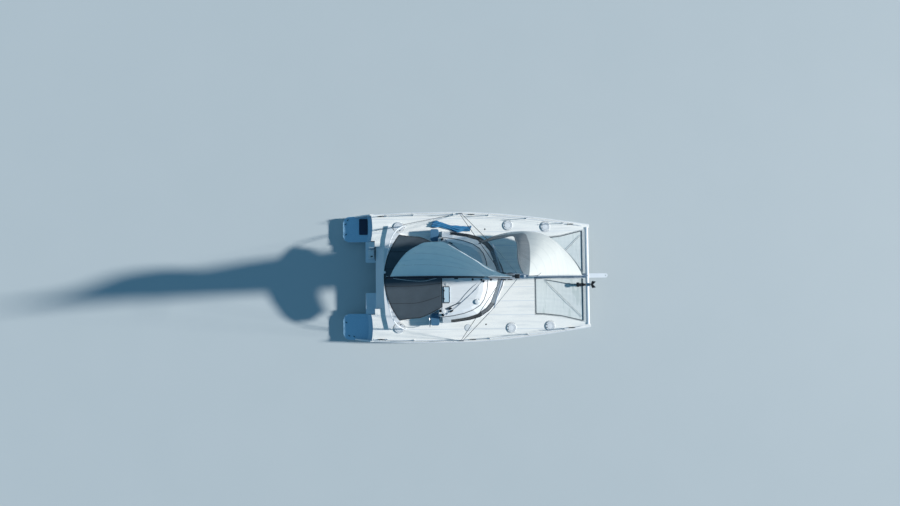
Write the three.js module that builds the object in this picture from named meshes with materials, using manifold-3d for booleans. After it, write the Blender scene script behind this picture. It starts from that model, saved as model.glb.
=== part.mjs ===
// A sailing catamaran, 11.2 m on deck, as an assembly of solids in millimetres.
// +X points to the bows, +Y to port and +Z up. The origin is on the waterline, on the centre plane,
// midway between the transoms and the bow tips.
import * as THREE from "three";
import { mergeVertices } from "three/addons/utils/BufferGeometryUtils.js";
import Module from "manifold-3d";

const wasm = await Module();
wasm.setup();

// Driving dimensions
const HULL_AFT = -5600;
const HULL_TIP = 5600;
const DECK_AT_ORIGIN = 1380; // height of the deck above the water at the origin
const SHEER = 0.026; // rise of the deck for each millimetre forward
const GAP = 0.3; // running gap between pieces that touch
const STEM_RAKE = 140; // how far the stem leans forward from the water to the deck
const PLATFORM_TOP = 450; // stern platforms above the water
const PLATFORM_FRONT = -4130; // where a platform ends against the deck's aft edge
const STEP_DEPTH = 240;
const STEP_TOP = 860;
const BRIDGE_AFT = -4030;
const BRIDGE_FRONT = 3110;
const BRIDGE_UNDERSIDE = 650;
const SALOON_SOLE = 760;
const COCKPIT_SOLE = 900;
const ARC_CENTRE_X = -650; // centre of the arc that the cockpit's aft edge follows
const BULKHEAD_AFT = -990; // aft face of the cabin
const BULKHEAD_THICK = 60;
const WALL = 35; // cabin wall
const BROW_Z = 2330; // where the cabin's sides meet its roof
const ROOF_Z = 2490;
const MAST_X = 1050;
const MAST_FOOT = 2430;
const MAST_TOP = 14300;
const HOUNDS_Z = 13400;
const SPREADER_Z = 9000;
const GOOSENECK_Z = 3900;
const BEAM_X = 5470; // bow crossbeam
const BEAM_Z = 1500;
const BEAM_R = 80;
const SIDES = [
  { name: "port", side: 1 },
  { name: "starboard", side: -1 },
];

// The deck's height at a place along the boat.
const deckAt = (x) => DECK_AT_ORIGIN + SHEER * x;

// Hull sections: place, outer sheer, inner side, half width at the water, depth of the keel line, and the
// height of the knee where the upright side turns in.
const HULL_SECTIONS = [
  { x: -5600, outer: 2840, inner: 1660, water: 470, keel: -60, knee: 300 },
  { x: -4800, outer: 2862, inner: 1660, water: 490, keel: -260, knee: 320 },
  { x: -4030, outer: 2875, inner: 1660, water: 500, keel: -400, knee: 380 },
  { x: -2700, outer: 2935, inner: 1665, water: 515, keel: -500, knee: 560 },
  { x: -1000, outer: 2948, inner: 1675, water: 520, keel: -540, knee: 760 },
  { x: 300, outer: 2928, inner: 1690, water: 500, keel: -540, knee: 840 },
  { x: 1500, outer: 2850, inner: 1705, water: 450, keel: -520, knee: 880 },
  { x: 2500, outer: 2745, inner: 1715, water: 375, keel: -490, knee: 900 },
  { x: 3500, outer: 2620, inner: 1740, water: 285, keel: -440, knee: 920 },
  { x: 4300, outer: 2500, inner: 1830, water: 200, keel: -370, knee: 940 },
  { x: 5000, outer: 2395, inner: 2000, water: 110, keel: -260, knee: 960 },
  { x: 5400, outer: 2333, inner: 2090, water: 48, keel: -160, knee: 960 },
  { x: 5600, outer: 2300, inner: 2150, water: 18, keel: -80, knee: 960 },
];

// Reads a column of a table of sections at any x, straight between its rows.
function columnAt(table, column, x) {
  const after = table.findIndex((row) => row.x >= x);
  if (after <= 0) return table[after < 0 ? table.length - 1 : 0][column];
  const [a, b] = [table[after - 1], table[after]];
  return a[column] + ((b[column] - a[column]) * (x - a.x)) / (b.x - a.x);
}

// Materials
const paint = (color, roughness, metalness = 0) =>
  new THREE.MeshStandardMaterial({ color, roughness, metalness });
const MATERIAL = {
  gelcoat: () => paint("#eef0f0", 0.35),
  grey_moulding: () => paint("#aebac6", 0.5),
  antifoul: () => paint("#27384d", 0.8),
  dark_glass: () => paint("#1d2830", 0.1),
  aluminium: () => paint("#aab4c2", 0.35, 0.9),
  steel: () => paint("#c9cdd1", 0.2, 1),
  bronze: () => paint("#9a7b4a", 0.35, 1),
  black_plastic: () => paint("#17191c", 0.5),
  navy: () => paint("#1b2f55", 0.5),
  mainsail_cloth: () => paint("#d5e2e6", 0.7),
  genoa_cloth: () => paint("#f3f4f2", 0.7),
  canopy_cloth: () => paint("#5b666f", 0.9),
  mesh_cloth: () => paint("#dfe6df", 0.9),
  blue_cloth: () => paint("#1c5fa8", 0.9),
};

const boat = new THREE.Group();
boat.name = "sailing_catamaran";

// Adds one named sub-part to a group.
function add(name, geometry, material, parent = boat) {
  const mesh = new THREE.Mesh(geometry, MATERIAL[material]());
  mesh.name = name;
  parent.add(mesh);
  return mesh;
}

// Solid modelling helpers

// A closed geometry from vertices and triangles, turned so that its faces point out.
function closedGeometry(vertices, triangles) {
  let volume = 0;
  for (const [a, b, c] of triangles) volume += vertices[a].dot(vertices[b].clone().cross(vertices[c]));
  const ordered = volume < 0 ? triangles.map(([a, b, c]) => [a, c, b]) : triangles;
  const geometry = new THREE.BufferGeometry();
  geometry.setAttribute("position", new THREE.Float32BufferAttribute(vertices.flatMap((v) => [...v]), 3));
  geometry.setIndex(ordered.flat());
  return geometry;
}

// Joins rings of points, all with the same count, and closes both ends with a fan.
function loft(rings) {
  const n = rings[0].length;
  const vertices = rings.flat().map((p) => new THREE.Vector3(...p));
  const triangles = [];
  for (let r = 0; r + 1 < rings.length; r++) {
    for (let i = 0; i < n; i++) {
      const j = (i + 1) % n;
      const [a, b, c, d] = [r * n + i, r * n + j, (r + 1) * n + j, (r + 1) * n + i];
      triangles.push([a, b, c], [a, c, d]);
    }
  }
  for (const first of [0, (rings.length - 1) * n]) {
    const centre = new THREE.Vector3();
    for (let i = 0; i < n; i++) centre.addScaledVector(vertices[first + i], 1 / n);
    const hub = vertices.push(centre) - 1;
    for (let i = 0; i < n; i++) {
      const edge = [first + i, first + ((i + 1) % n)];
      triangles.push(first ? [hub, edge[0], edge[1]] : [hub, edge[1], edge[0]]);
    }
  }
  return closedGeometry(vertices, triangles);
}

// A manifold solid of a closed geometry.
function solidOf(geometry) {
  const bare = (geometry.index ? geometry.toNonIndexed() : geometry.clone());
  bare.deleteAttribute("normal");
  bare.deleteAttribute("uv");
  const merged = mergeVertices(bare, 1e-3);
  const mesh = new wasm.Mesh({
    numProp: 3,
    vertProperties: merged.attributes.position.array,
    triVerts: new Uint32Array(merged.index.array),
  });
  return new wasm.Manifold(mesh);
}

function geometryOf(solid) {
  const mesh = solid.getMesh();
  const geometry = new THREE.BufferGeometry();
  geometry.setAttribute("position", new THREE.BufferAttribute(new Float32Array(mesh.vertProperties), 3));
  geometry.setIndex(new THREE.BufferAttribute(new Uint32Array(mesh.triVerts), 1));
  return geometry;
}

const join = (...parts) => geometryOf(parts.map(solidOf).reduce((a, b) => a.add(b)));
const cut = (body, ...tools) => geometryOf(tools.map(solidOf).reduce((a, b) => a.subtract(b), solidOf(body)));
const overlapOf = (a, b) => geometryOf(solidOf(a).intersect(solidOf(b)));

// The same closed geometry on the other side of the centre plane, with its faces still pointing out.
function mirrored(geometry) {
  const loose = (geometry.index ? geometry.toNonIndexed() : geometry.clone()).scale(1, -1, 1);
  const position = loose.attributes.position;
  const [second, third] = [new THREE.Vector3(), new THREE.Vector3()];
  for (let i = 0; i < position.count; i += 3) {
    second.fromBufferAttribute(position, i + 1);
    third.fromBufferAttribute(position, i + 2);
    position.setXYZ(i + 1, ...third);
    position.setXYZ(i + 2, ...second);
  }
  return loose;
}

// A box from its lowest to its highest corner.
function block(low, high) {
  const size = high.map((v, i) => v - low[i]);
  const middle = high.map((v, i) => (v + low[i]) / 2);
  return new THREE.BoxGeometry(...size).translate(...middle);
}

// An upright prism over a plan outline of [x, y] points.
function prism(outline, bottom, top) {
  const shape = new THREE.Shape(outline.map(([x, y]) => new THREE.Vector2(x, y)));
  const geometry = new THREE.ExtrudeGeometry(shape, { depth: top - bottom, bevelEnabled: false });
  return geometry.translate(0, 0, bottom);
}

// A rectangle with round corners, as a plan outline.
function roundedRectangle(x0, x1, y0, y1, radius, steps = 3) {
  const corners = [
    [x1 - radius, y1 - radius, 0],
    [x0 + radius, y1 - radius, 90],
    [x0 + radius, y0 + radius, 180],
    [x1 - radius, y0 + radius, 270],
  ];
  return corners.flatMap(([cx, cy, from]) =>
    Array.from({ length: steps + 1 }, (_, i) => {
      const angle = THREE.MathUtils.degToRad(from + (90 * i) / steps);
      return [cx + radius * Math.cos(angle), cy + radius * Math.sin(angle)];
    }),
  );
}

const UP = new THREE.Vector3(0, 1, 0);

// A straight round bar between two points, with a second radius for a taper.
function rod(from, to, radius, sides = 10, radiusTo = radius) {
  const a = new THREE.Vector3(...from);
  const b = new THREE.Vector3(...to);
  const along = b.clone().sub(a);
  const geometry = new THREE.CylinderGeometry(radiusTo, radius, along.length(), sides);
  const turn = new THREE.Quaternion().setFromUnitVectors(UP, along.clone().normalize());
  const middle = a.add(b).multiplyScalar(0.5);
  return geometry.applyQuaternion(turn).translate(middle.x, middle.y, middle.z);
}

// A round tube along a smooth curve through points.
function bentTube(points, radius, steps, sides = 8, closed = false) {
  const curve = new THREE.CatmullRomCurve3(points.map((p) => new THREE.Vector3(...p)), closed, "centripetal");
  const section = new THREE.Shape();
  section.absarc(0, 0, radius, 0, 2 * Math.PI);
  return new THREE.ExtrudeGeometry(section, {
    steps,
    curveSegments: sides / 2,
    bevelEnabled: false,
    extrudePath: curve,
  });
}

// An upright turned piece from [radius, height] points that start and end on the axis.
const turned = (profile, sides = 20) =>
  new THREE.LatheGeometry(profile.map(([r, z]) => new THREE.Vector2(r, z)), sides).rotateX(Math.PI / 2);

// A thin closed sheet over a grid of points, with its thickness to both sides.
function sheet(grid, thickness) {
  const rows = grid.length;
  const columns = grid[0].length;
  const points = grid.map((row) => row.map((p) => new THREE.Vector3(...p)));
  const at = (r, c) => points[THREE.MathUtils.clamp(r, 0, rows - 1)][THREE.MathUtils.clamp(c, 0, columns - 1)];
  const normal = (r, c) => {
    const along = at(r, c + 1).clone().sub(at(r, c - 1));
    const across = at(r + 1, c).clone().sub(at(r - 1, c));
    return along.cross(across).normalize();
  };
  const vertices = [];
  for (const half of [thickness / 2, -thickness / 2]) {
    for (let r = 0; r < rows; r++) {
      for (let c = 0; c < columns; c++) vertices.push(at(r, c).clone().addScaledVector(normal(r, c), half));
    }
  }
  const back = rows * columns;
  const id = (r, c) => r * columns + c;
  const triangles = [];
  for (let r = 0; r + 1 < rows; r++) {
    for (let c = 0; c + 1 < columns; c++) {
      const [a, b, d, e] = [id(r, c), id(r, c + 1), id(r + 1, c + 1), id(r + 1, c)];
      triangles.push([a, b, d], [a, d, e], [back + b, back + a, back + e], [back + b, back + e, back + d]);
    }
  }
  const rim = [];
  for (let c = 0; c < columns - 1; c++) rim.push(id(0, c));
  for (let r = 0; r < rows - 1; r++) rim.push(id(r, columns - 1));
  for (let c = columns - 1; c > 0; c--) rim.push(id(rows - 1, c));
  for (let r = rows - 1; r > 0; r--) rim.push(id(r, 0));
  rim.forEach((a, i) => {
    const b = rim[(i + 1) % rim.length];
    triangles.push([b, a, back + a], [b, back + a, back + b]);
  });
  return closedGeometry(vertices, triangles);
}

// Everything that stands on the deck is placed in this group, whose z = 0 is the deck's surface.
const onDeck = new THREE.Group();
onDeck.position.z = DECK_AT_ORIGIN;
onDeck.rotation.y = -Math.atan(SHEER);
boat.add(onDeck);

// Everything on the coachroof's flat is placed here.
const onRoof = new THREE.Group();
onRoof.position.z = ROOF_Z;
boat.add(onRoof);

// Hulls

const RUDDER_X = -4900;
const HULL_CENTRE_AFT = 2260;
const STOCK_R = 32;
const STOCK_CLEARANCE = 0.6;
const GUNWALE = 45; // the rounded edge of the deck
const INNER_KNEE = BRIDGE_UNDERSIDE - 40; // the inner side stays upright where the bridge deck meets it

// One hull's section, from the outer sheer under the keel line to the inner side.
function hullRing({ x, outer, inner, water, keel, knee }) {
  const deck = deckAt(x);
  const middle = (outer + inner) / 2;
  const halfDeck = (outer - inner) / 2;
  const edge = Math.min(GUNWALE, halfDeck / 2);
  const rake = x > 5000 ? STEM_RAKE * ((x - 5000) / 600) : 0;
  const flare = (share) => water + (halfDeck - water) * share;
  const profile = [
    [outer - edge, deck],
    [outer, deck - edge],
    [outer, knee],
    [middle + flare(0.5), 0.4 * knee],
    [middle + water, 0],
    [middle + 0.84 * water, 0.5 * keel],
    [middle + 0.5 * water, 0.86 * keel],
    [middle, keel],
    [middle - 0.5 * water, 0.86 * keel],
    [middle - 0.84 * water, 0.5 * keel],
    [middle - water, 0],
    [middle - flare(0.5), 0.4 * Math.min(knee, INNER_KNEE)],
    [inner, Math.min(knee, INNER_KNEE)],
    [inner, deck],
  ];
  return profile.map(([y, z]) => [x - rake * (1 - z / deck), y, z]);
}

// The edge of the stern platform's front, a shallow arc that is furthest forward in the middle.
function platformFront(shift) {
  const halfWidth = 720;
  const hollow = 90;
  return [-1, -0.5, 0, 0.5, 1].map((t) => [
    PLATFORM_FRONT - shift - hollow * t * t,
    HULL_CENTRE_AFT + halfWidth * t,
  ]);
}

// What is cut away above the stern platform, from a height up.
function scoop(shift, bottom) {
  const outline = [[HULL_AFT - 200, HULL_CENTRE_AFT - 720], ...platformFront(shift), [HULL_AFT - 200, HULL_CENTRE_AFT + 720]];
  return prism(outline, bottom, 2000);
}

// The outboard bulwark that runs down from the deck's corner onto the platform.
function bulwark() {
  const thick = 55;
  const profile = [
    { x: -5050, outer: 2852, top: PLATFORM_TOP + 60 },
    { x: -4700, outer: 2858, top: 900 },
    { x: -4250, outer: 2868, top: deckAt(-4250) - 6 },
    { x: -4100, outer: 2870, top: deckAt(-4100) - 6 },
  ];
  return loft(profile.map(({ x, outer, top }) => [
    [x, outer, PLATFORM_TOP - 40],
    [x, outer, top],
    [x, outer - thick, top],
    [x, outer - thick, PLATFORM_TOP - 40],
  ]));
}

function hullGeometry() {
  const body = loft(HULL_SECTIONS.map(hullRing));
  const corner = 260;
  // Round the two aft corners of the platform in plan.
  const stern = [
    [HULL_AFT, 1660 + corner],
    [HULL_AFT, 2840 - corner],
    [HULL_AFT + 0.3 * corner, 2840 - 0.3 * corner],
    [HULL_AFT + corner, 2860],
    [HULL_AFT + corner, 3100],
    [HULL_TIP + 400, 3100],
    [HULL_TIP + 400, 1500],
    [HULL_AFT + corner, 1500],
    [HULL_AFT + corner, 1655],
    [HULL_AFT + 0.3 * corner, 1660 + 0.3 * corner],
  ];
  const trimmed = overlapOf(body, prism(stern, -2000, 3000));
  const stepped = cut(trimmed, scoop(STEP_DEPTH, PLATFORM_TOP), scoop(0, STEP_TOP));
  const stockHole = rod([RUDDER_X, HULL_CENTRE_AFT, -600], [RUDDER_X, HULL_CENTRE_AFT, 150], STOCK_R + STOCK_CLEARANCE, 24);
  return cut(join(stepped, bulwark()), stockHole);
}

const hullPort = hullGeometry();
for (const { name, side } of SIDES) {
  const hull = add("hull_" + name, hullPort.clone(), "gelcoat");
  hull.scale.y = side;
}

// The port hull grown by a gap upwards and towards the centre plane, to trim what meets it.
const hullTrimmer = join(hullPort.clone().translate(0, -GAP, 0), hullPort.clone().translate(0, 0, GAP));

// Bridge deck: the slab between the hulls with the saloon and the cockpit sunk into it

const COCKPIT_HALF = 1590;
const SALOON_HALF = 1500;
const DOORWAY_HALF = 420;
const COCKPIT_ARC_R = 2560;

// Plan outline of the cockpit well: straight sides and an aft edge on the arc.
function wellOutline(inset) {
  const half = COCKPIT_HALF - inset;
  const radius = COCKPIT_ARC_R - inset;
  const steps = 8;
  const start = Math.asin(half / radius);
  const arc = Array.from({ length: steps + 1 }, (_, i) => {
    const angle = start - (2 * start * i) / steps;
    return [ARC_CENTRE_X - radius * Math.cos(angle), radius * Math.sin(angle)];
  });
  return [[BULKHEAD_AFT - inset, half], ...arc, [BULKHEAD_AFT - inset, -half]];
}

const SALOON_OUTLINE = [
  [BULKHEAD_AFT + BULKHEAD_THICK, -SALOON_HALF],
  [700, -SALOON_HALF],
  [1150, -1100],
  [1500, -300],
  [1500, 300],
  [1150, 1100],
  [700, SALOON_HALF],
  [BULKHEAD_AFT + BULKHEAD_THICK, SALOON_HALF],
];

function bridgeDeckGeometry() {
  const between = HULL_SECTIONS.filter(({ x }) => x > BRIDGE_AFT && x < BRIDGE_FRONT).map(({ x }) => x);
  const rings = [BRIDGE_AFT, ...between, BRIDGE_FRONT].map((x) => {
    const half = columnAt(HULL_SECTIONS, "inner", x) - GAP;
    const deck = deckAt(x);
    return [
      [x, half, deck],
      [x, half, BRIDGE_UNDERSIDE],
      [x, -half, BRIDGE_UNDERSIDE],
      [x, -half, deck],
    ];
  });
  const saloon = prism(SALOON_OUTLINE, SALOON_SOLE, 2500);
  const well = prism(wellOutline(0), COCKPIT_SOLE, 2500);
  const doorway = block(
    [BULKHEAD_AFT - 20, -DOORWAY_HALF, COCKPIT_SOLE],
    [BULKHEAD_AFT + BULKHEAD_THICK + 20, DOORWAY_HALF, 2500],
  );
  return cut(loft(rings), saloon, well, doorway, sternSlope());
}

// What is cut away above the slope that faces aft between the hulls, inside the coaming's two ends.
const SLOPE = { fore: -3650, foot: 950, half: 1400 };
function sternSlope() {
  const behind = BRIDGE_AFT - 100;
  const steepness = (deckAt(SLOPE.fore) - SLOPE.foot) / (SLOPE.fore - BRIDGE_AFT);
  const slopeAt = (x) => SLOPE.foot + steepness * (x - BRIDGE_AFT);
  const rings = [-SLOPE.half, SLOPE.half].map((y) => [
    [behind, y, slopeAt(behind)],
    [SLOPE.fore + 40, y, slopeAt(SLOPE.fore + 40)],
    [SLOPE.fore + 40, y, 2500],
    [behind, y, 2500],
  ]);
  return loft(rings);
}
add("bridge_deck", bridgeDeckGeometry(), "gelcoat");

// Cabin

// Half outline of the cabin: its foot on the deck and its brow at the roof's edge.
const CABIN_EDGE = [
  { footX: BULKHEAD_AFT, footY: 2060, browX: BULKHEAD_AFT, browY: 1700 },
  { footX: -450, footY: 2040, browX: -560, browY: 1650 },
  { footX: 250, footY: 1940, browX: -90, browY: 1550 },
  { footX: 710, footY: 1810, browX: 300, browY: 1410 },
  { footX: 1130, footY: 1520, browX: 610, browY: 1210 },
  { footX: 1370, footY: 1230, browX: 770, browY: 990 },
  { footX: 1540, footY: 830, browX: 890, browY: 650 },
  { footX: 1740, footY: 380, browX: 930, browY: 320 },
  { footX: 1830, footY: 0, browX: 940, browY: 0 },
];
const ROOF_OVERHANG = 160; // the roof's aft eave over the cockpit

// The cabin's outline between foot (share 0) and brow (share 1), moved in by an inset, at a height.
function cabinRing(share, inset, height, aftX) {
  const half = CABIN_EDGE.map(({ footX, footY, browX, browY }) => [
    THREE.MathUtils.lerp(footX, browX, share),
    THREE.MathUtils.lerp(footY, browY, share),
  ]);
  half[0][0] = aftX;
  const full = [...half, ...half.slice(0, -1).reverse().map(([x, y]) => [x, -y])];
  return full.map(([x, y], i) => {
    const before = full[Math.max(i - 1, 0)];
    const after = full[Math.min(i + 1, full.length - 1)];
    const [dx, dy] = [after[0] - before[0], after[1] - before[1]];
    const length = Math.hypot(dx, dy);
    const aftMost = i === 0 || i === full.length - 1;
    const moveX = aftMost ? 0 : (dy / length) * inset;
    const moveY = aftMost ? -Math.sign(y) * inset : (-dx / length) * inset;
    const z = height === "deck" ? deckAt(x) + GAP : height;
    return [x + moveX, y + moveY, z];
  });
}

const WINDOW_LOW = 1480;
const WINDOW_HIGH = 1790;
const PANE = 12;

const cabinOuter = loft([cabinRing(0, 0, "deck", BULKHEAD_AFT), cabinRing(1, 0, BROW_Z, BULKHEAD_AFT)]);
const cabinRoof = loft([
  cabinRing(1, 0, BROW_Z - 40, BULKHEAD_AFT - ROOF_OVERHANG),
  cabinRing(1, 20, BROW_Z + 40, BULKHEAD_AFT - ROOF_OVERHANG),
  cabinRing(1, 130, ROOF_Z - 25, BULKHEAD_AFT - ROOF_OVERHANG + 60),
  cabinRing(1, 330, ROOF_Z, BULKHEAD_AFT - ROOF_OVERHANG + 180),
]);
const cabinInner = loft([
  cabinRing(0, WALL, 1200, BULKHEAD_AFT + BULKHEAD_THICK),
  cabinRing(1, WALL, BROW_Z + 20, BULKHEAD_AFT + BULKHEAD_THICK),
]);
const MAST_STEP_HALF = 150;
const mastStep = block([820, -MAST_STEP_HALF, BROW_Z - 200], [MAST_X + 170, MAST_STEP_HALF, MAST_FOOT - GAP]);

// The windows' openings, as blocks that cross one wall each.
const WINDOWS = [
  { name: "window_front", low: [900, -1180], high: [2200, 1180] },
  { name: "window_port", low: [-620, 1150], high: [760, 2300] },
  { name: "window_starboard", low: [-620, -2300], high: [760, -1150] },
];
const windowBlock = ({ low, high }, shrink) =>
  block([low[0] + shrink, low[1] + shrink, WINDOW_LOW + shrink], [high[0] - shrink, high[1] - shrink, WINDOW_HIGH - shrink]);

const cabinDoorway = block(
  [BULKHEAD_AFT - 20, -DOORWAY_HALF, 1000],
  [BULKHEAD_AFT + BULKHEAD_THICK + 20, DOORWAY_HALF, 2260],
);
const cabinShell = cut(
  join(cabinOuter, cabinRoof, mastStep),
  cut(cabinInner, block([880, -MAST_STEP_HALF - 20, 2000], [1300, MAST_STEP_HALF + 20, 2600])),
  ...WINDOWS.map((w) => windowBlock(w, 0)),
  cabinDoorway,
);
add("cabin", cabinShell, "gelcoat");

const paneBack = loft([cabinRing(0, PANE, "deck", BULKHEAD_AFT), cabinRing(1, PANE, BROW_Z, BULKHEAD_AFT)]);
const paneSkin = cut(cabinOuter, paneBack);
for (const w of WINDOWS) add(w.name, overlapOf(paneSkin, windowBlock(w, GAP)), "dark_glass");

// Trims a piece so that it sits a gap above what carries it.
const seatOn = (piece, carrier) => cut(piece, carrier.clone().translate(0, 0, GAP));

// Sliding door in the aft bulkhead: it runs to port on the cockpit side of the opening
const DOOR_THICK = 30;
const DOOR_HALF = DOORWAY_HALF + 40;
const DOOR_FACE = BULKHEAD_AFT - 8;
const DOOR_TRACK_Z = BROW_Z - 59;
add(
  "companionway_door",
  block([DOOR_FACE - DOOR_THICK, -DOOR_HALF, COCKPIT_SOLE + 8], [DOOR_FACE, DOOR_HALF, DOOR_TRACK_Z - 0.5]),
  "dark_glass",
);
add(
  "door_track",
  block(
    [DOOR_FACE - DOOR_THICK, -DOOR_HALF, DOOR_TRACK_Z],
    [BULKHEAD_AFT - GAP, DOOR_HALF + 2 * DOORWAY_HALF, DOOR_TRACK_Z + 14],
  ),
  "aluminium",
);

// Cockpit: settee round the well, coaming behind it, helm to starboard and a locker to port

const SETTEE_TOP = 1290;
const SETTEE_DEPTH = 480;
const setteeOuter = prism(wellOutline(GAP), COCKPIT_SOLE + GAP, SETTEE_TOP);
const setteeKnees = prism(wellOutline(SETTEE_DEPTH), 0, 2000);
add(
  "cockpit_settee",
  cut(setteeOuter, setteeKnees, block([-1750, -2000, 0], [0, 2000, 2000])),
  "gelcoat",
);

const ROUND_LIDS = [
  { name: "hatch_port_aft", x: 1960, y: 2290, r: 210, thick: 30, hingeAt: 0 },
  { name: "hatch_port_fore", x: 3630, y: 2210, r: 210, thick: 30, hingeAt: 0 },
  { name: "hatch_starboard_aft", x: 2060, y: -2290, r: 210, thick: 30, hingeAt: 0 },
  { name: "hatch_starboard_fore", x: 3780, y: -2220, r: 210, thick: 30, hingeAt: 0 },
  { name: "locker_lid_port", x: -2950, y: 2270, r: 225, thick: 45, hingeAt: Math.PI / 2 },
  { name: "locker_lid_starboard", x: -2950, y: -2270, r: 225, thick: 45, hingeAt: -Math.PI / 2 },
];
for (const { name, x, y, r, thick, hingeAt } of ROUND_LIDS) {
  const edge = 10;
  const lid = turned([[0, 0], [r, 0], [r, thick - edge], [r - edge, thick], [0, thick + 8]], 24);
  const hinge = block([r - 60, -70, 0], [r, 70, 18]);
  const mesh = add(name, join(lid, hinge), "gelcoat", onDeck);
  mesh.position.set(x, y, GAP);
  mesh.rotation.z = hingeAt;
}

const COAMING_HIGH = 130;
const COAMING_EDGE = [[-3400, 2330], [-3540, 1710], [-3600, 900], [-3620, 0]];
const mirroredBack = (points) => points.slice(0, -1).reverse().map(([x, y]) => [x, -y]);
const coamingOutline = [
  [-2700, 1830],
  ...[...COAMING_EDGE, ...mirroredBack(COAMING_EDGE)],
  [-2700, -1830],
  ...wellOutline(-60).slice(1, -1).reverse(),
];
const lidSpace = ROUND_LIDS.filter(({ x }) => x < 0).map(({ x, y, r }) => rod([x, y, -50], [x, y, 400], r + 45, 24));
add("aft_coaming", cut(prism(coamingOutline, GAP, COAMING_HIGH), ...lidSpace), "gelcoat", onDeck);

const CONSOLE = { aft: -1480, fore: -1130, inner: 1610, outer: 2120, high: 560 };
for (const { name, side } of SIDES) {
  const [y0, y1] = [CONSOLE.inner * side, CONSOLE.outer * side].sort((a, b) => a - b);
  const body = prism(roundedRectangle(CONSOLE.aft, CONSOLE.fore, y0, y1, 70), GAP, CONSOLE.high);
  add(side > 0 ? "seat_locker" : "helm_console", body, "gelcoat", onDeck);
}

const WHEEL = { x: -1545, y: -1865, z: 455, r: 330 };
function wheelGeometry() {
  const rim = new THREE.TorusGeometry(WHEEL.r, 15, 6, 24).rotateY(Math.PI / 2);
  const hub = rod([-22, 0, 0], [-WHEEL.x + CONSOLE.aft - 0.6, 0, 0], 34, 16);
  const spokes = [90, 210, 330].map((degrees) => {
    const a = THREE.MathUtils.degToRad(degrees);
    return rod([0, 0, 0], [0, WHEEL.r * Math.cos(a), WHEEL.r * Math.sin(a)], 11, 6);
  });
  return join(rim, hub, ...spokes);
}
add("helm_wheel", wheelGeometry(), "steel", onDeck).position.set(WHEEL.x, WHEEL.y, WHEEL.z);

// Canopy over the cockpit, on the aft arch and a forward bow

const CANOPY = { z: 3400, drop: 400, half: 1800, fore: -980, aft: -3400, aftRadius: 4800, thick: 24 };
const canopyZ = (y) => CANOPY.z - CANOPY.drop * (y / CANOPY.half) ** 2;
const canopyAft = (y) => CANOPY.aft + y ** 2 / (2 * CANOPY.aftRadius);
const canopyGrid = Array.from({ length: 13 }, (_, row) => {
  const y = THREE.MathUtils.lerp(-CANOPY.half, CANOPY.half, row / 12);
  return Array.from({ length: 5 }, (_unused, column) => [
    THREE.MathUtils.lerp(canopyAft(y), CANOPY.fore, column / 4),
    y,
    canopyZ(y),
  ]);
});
const canopySheet = sheet(canopyGrid, CANOPY.thick);

// A bow of tube from deck or roof to port, under the canopy, to starboard.
const ARCH_R = 26;
const BOW_R = 16;
const underCanopy = (y, radius) => canopyZ(y) - CANOPY.thick / 2 - radius + 3;
const bothSides = (half) => [...half, ...half.slice(0, -1).reverse().map(([x, y, z]) => [x, -y, z])];
const ARCH_FOOT = [-2655, 2290, deckAt(-2655)];
const archPoints = bothSides([
  [ARCH_FOOT[0], ARCH_FOOT[1], ARCH_FOOT[2] + 12],
  [-2665, 2280, 1650],
  [-2780, 2180, 2200],
  [-2960, 1980, 2640],
  [canopyAft(1600), 1600, underCanopy(1600, ARCH_R) - 40],
  ...[1200, 800, 400, 0].map((y) => [canopyAft(y) + 40, y, underCanopy(y, ARCH_R)]),
]);
const FOOT_R = 48;
const footPad = ([x, y, z], side) => rod([x, y * side, z - 30], [x, y * side, z + 16], FOOT_R, 12);
const bothHulls = join(hullPort, mirrored(hullPort));
add(
  "aft_arch",
  seatOn(join(bentTube(archPoints, ARCH_R, 40, 8), footPad(ARCH_FOOT, 1), footPad(ARCH_FOOT, -1)), bothHulls),
  "aluminium",
);
const BOW_FOOT = [-800, 1560, BROW_Z + 90];
const bowPoints = bothSides([
  BOW_FOOT,
  [-830, 1620, 2700],
  [-900, 1590, 2950],
  [CANOPY.fore - 25, 1400, underCanopy(1400, BOW_R) - 4],
  ...[1050, 700, 350, 0].map((y) => [CANOPY.fore - 25, y, underCanopy(y, BOW_R)]),
]);
const cabinSolid = cut(join(cabinOuter, cabinRoof), block([-5000, -3000, 0], [5000, 3000, 2000]));
const bowTube = bentTube(bowPoints, BOW_R, 32, 8);
const bowPad = (side) => rod([BOW_FOOT[0], BOW_FOOT[1] * side, 2380], [BOW_FOOT[0], BOW_FOOT[1] * side, ROOF_Z - 8], 45, 10);
add("canopy_bow", seatOn(join(bowTube, bowPad(1), bowPad(-1)), cabinSolid), "aluminium");
const canopy = cut(
  canopySheet,
  bentTube(archPoints, ARCH_R + GAP, 40, 8),
  bentTube(bowPoints, BOW_R + GAP, 32, 8),
);
add("canopy", canopy, "canopy_cloth");

// Roof fittings: hatches, vent and winches

const ROOF_HATCH = { aft: -940, fore: -660, inner: 400, outer: 1110, thick: 32 };
for (const { name, side } of SIDES) {
  const halfLength = (ROOF_HATCH.fore - ROOF_HATCH.aft) / 2;
  const halfWidth = (ROOF_HATCH.outer - ROOF_HATCH.inner) / 2;
  const lid = prism(roundedRectangle(-halfLength, halfLength, -halfWidth, halfWidth, 50), GAP, ROOF_HATCH.thick);
  const middle = [(ROOF_HATCH.aft + ROOF_HATCH.fore) / 2, (side * (ROOF_HATCH.inner + ROOF_HATCH.outer)) / 2];
  add("roof_hatch_" + name, lid, "dark_glass", onRoof).position.set(...middle, 0);
}
const ventProfile = [[0, -70], [110, -70], [110, 30], [80, 58], [0, 66]];
const VENT = [490, -1070];
add("roof_vent", seatOn(turned(ventProfile, 20).translate(...VENT, ROOF_Z), cabinSolid), "steel");

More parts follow.
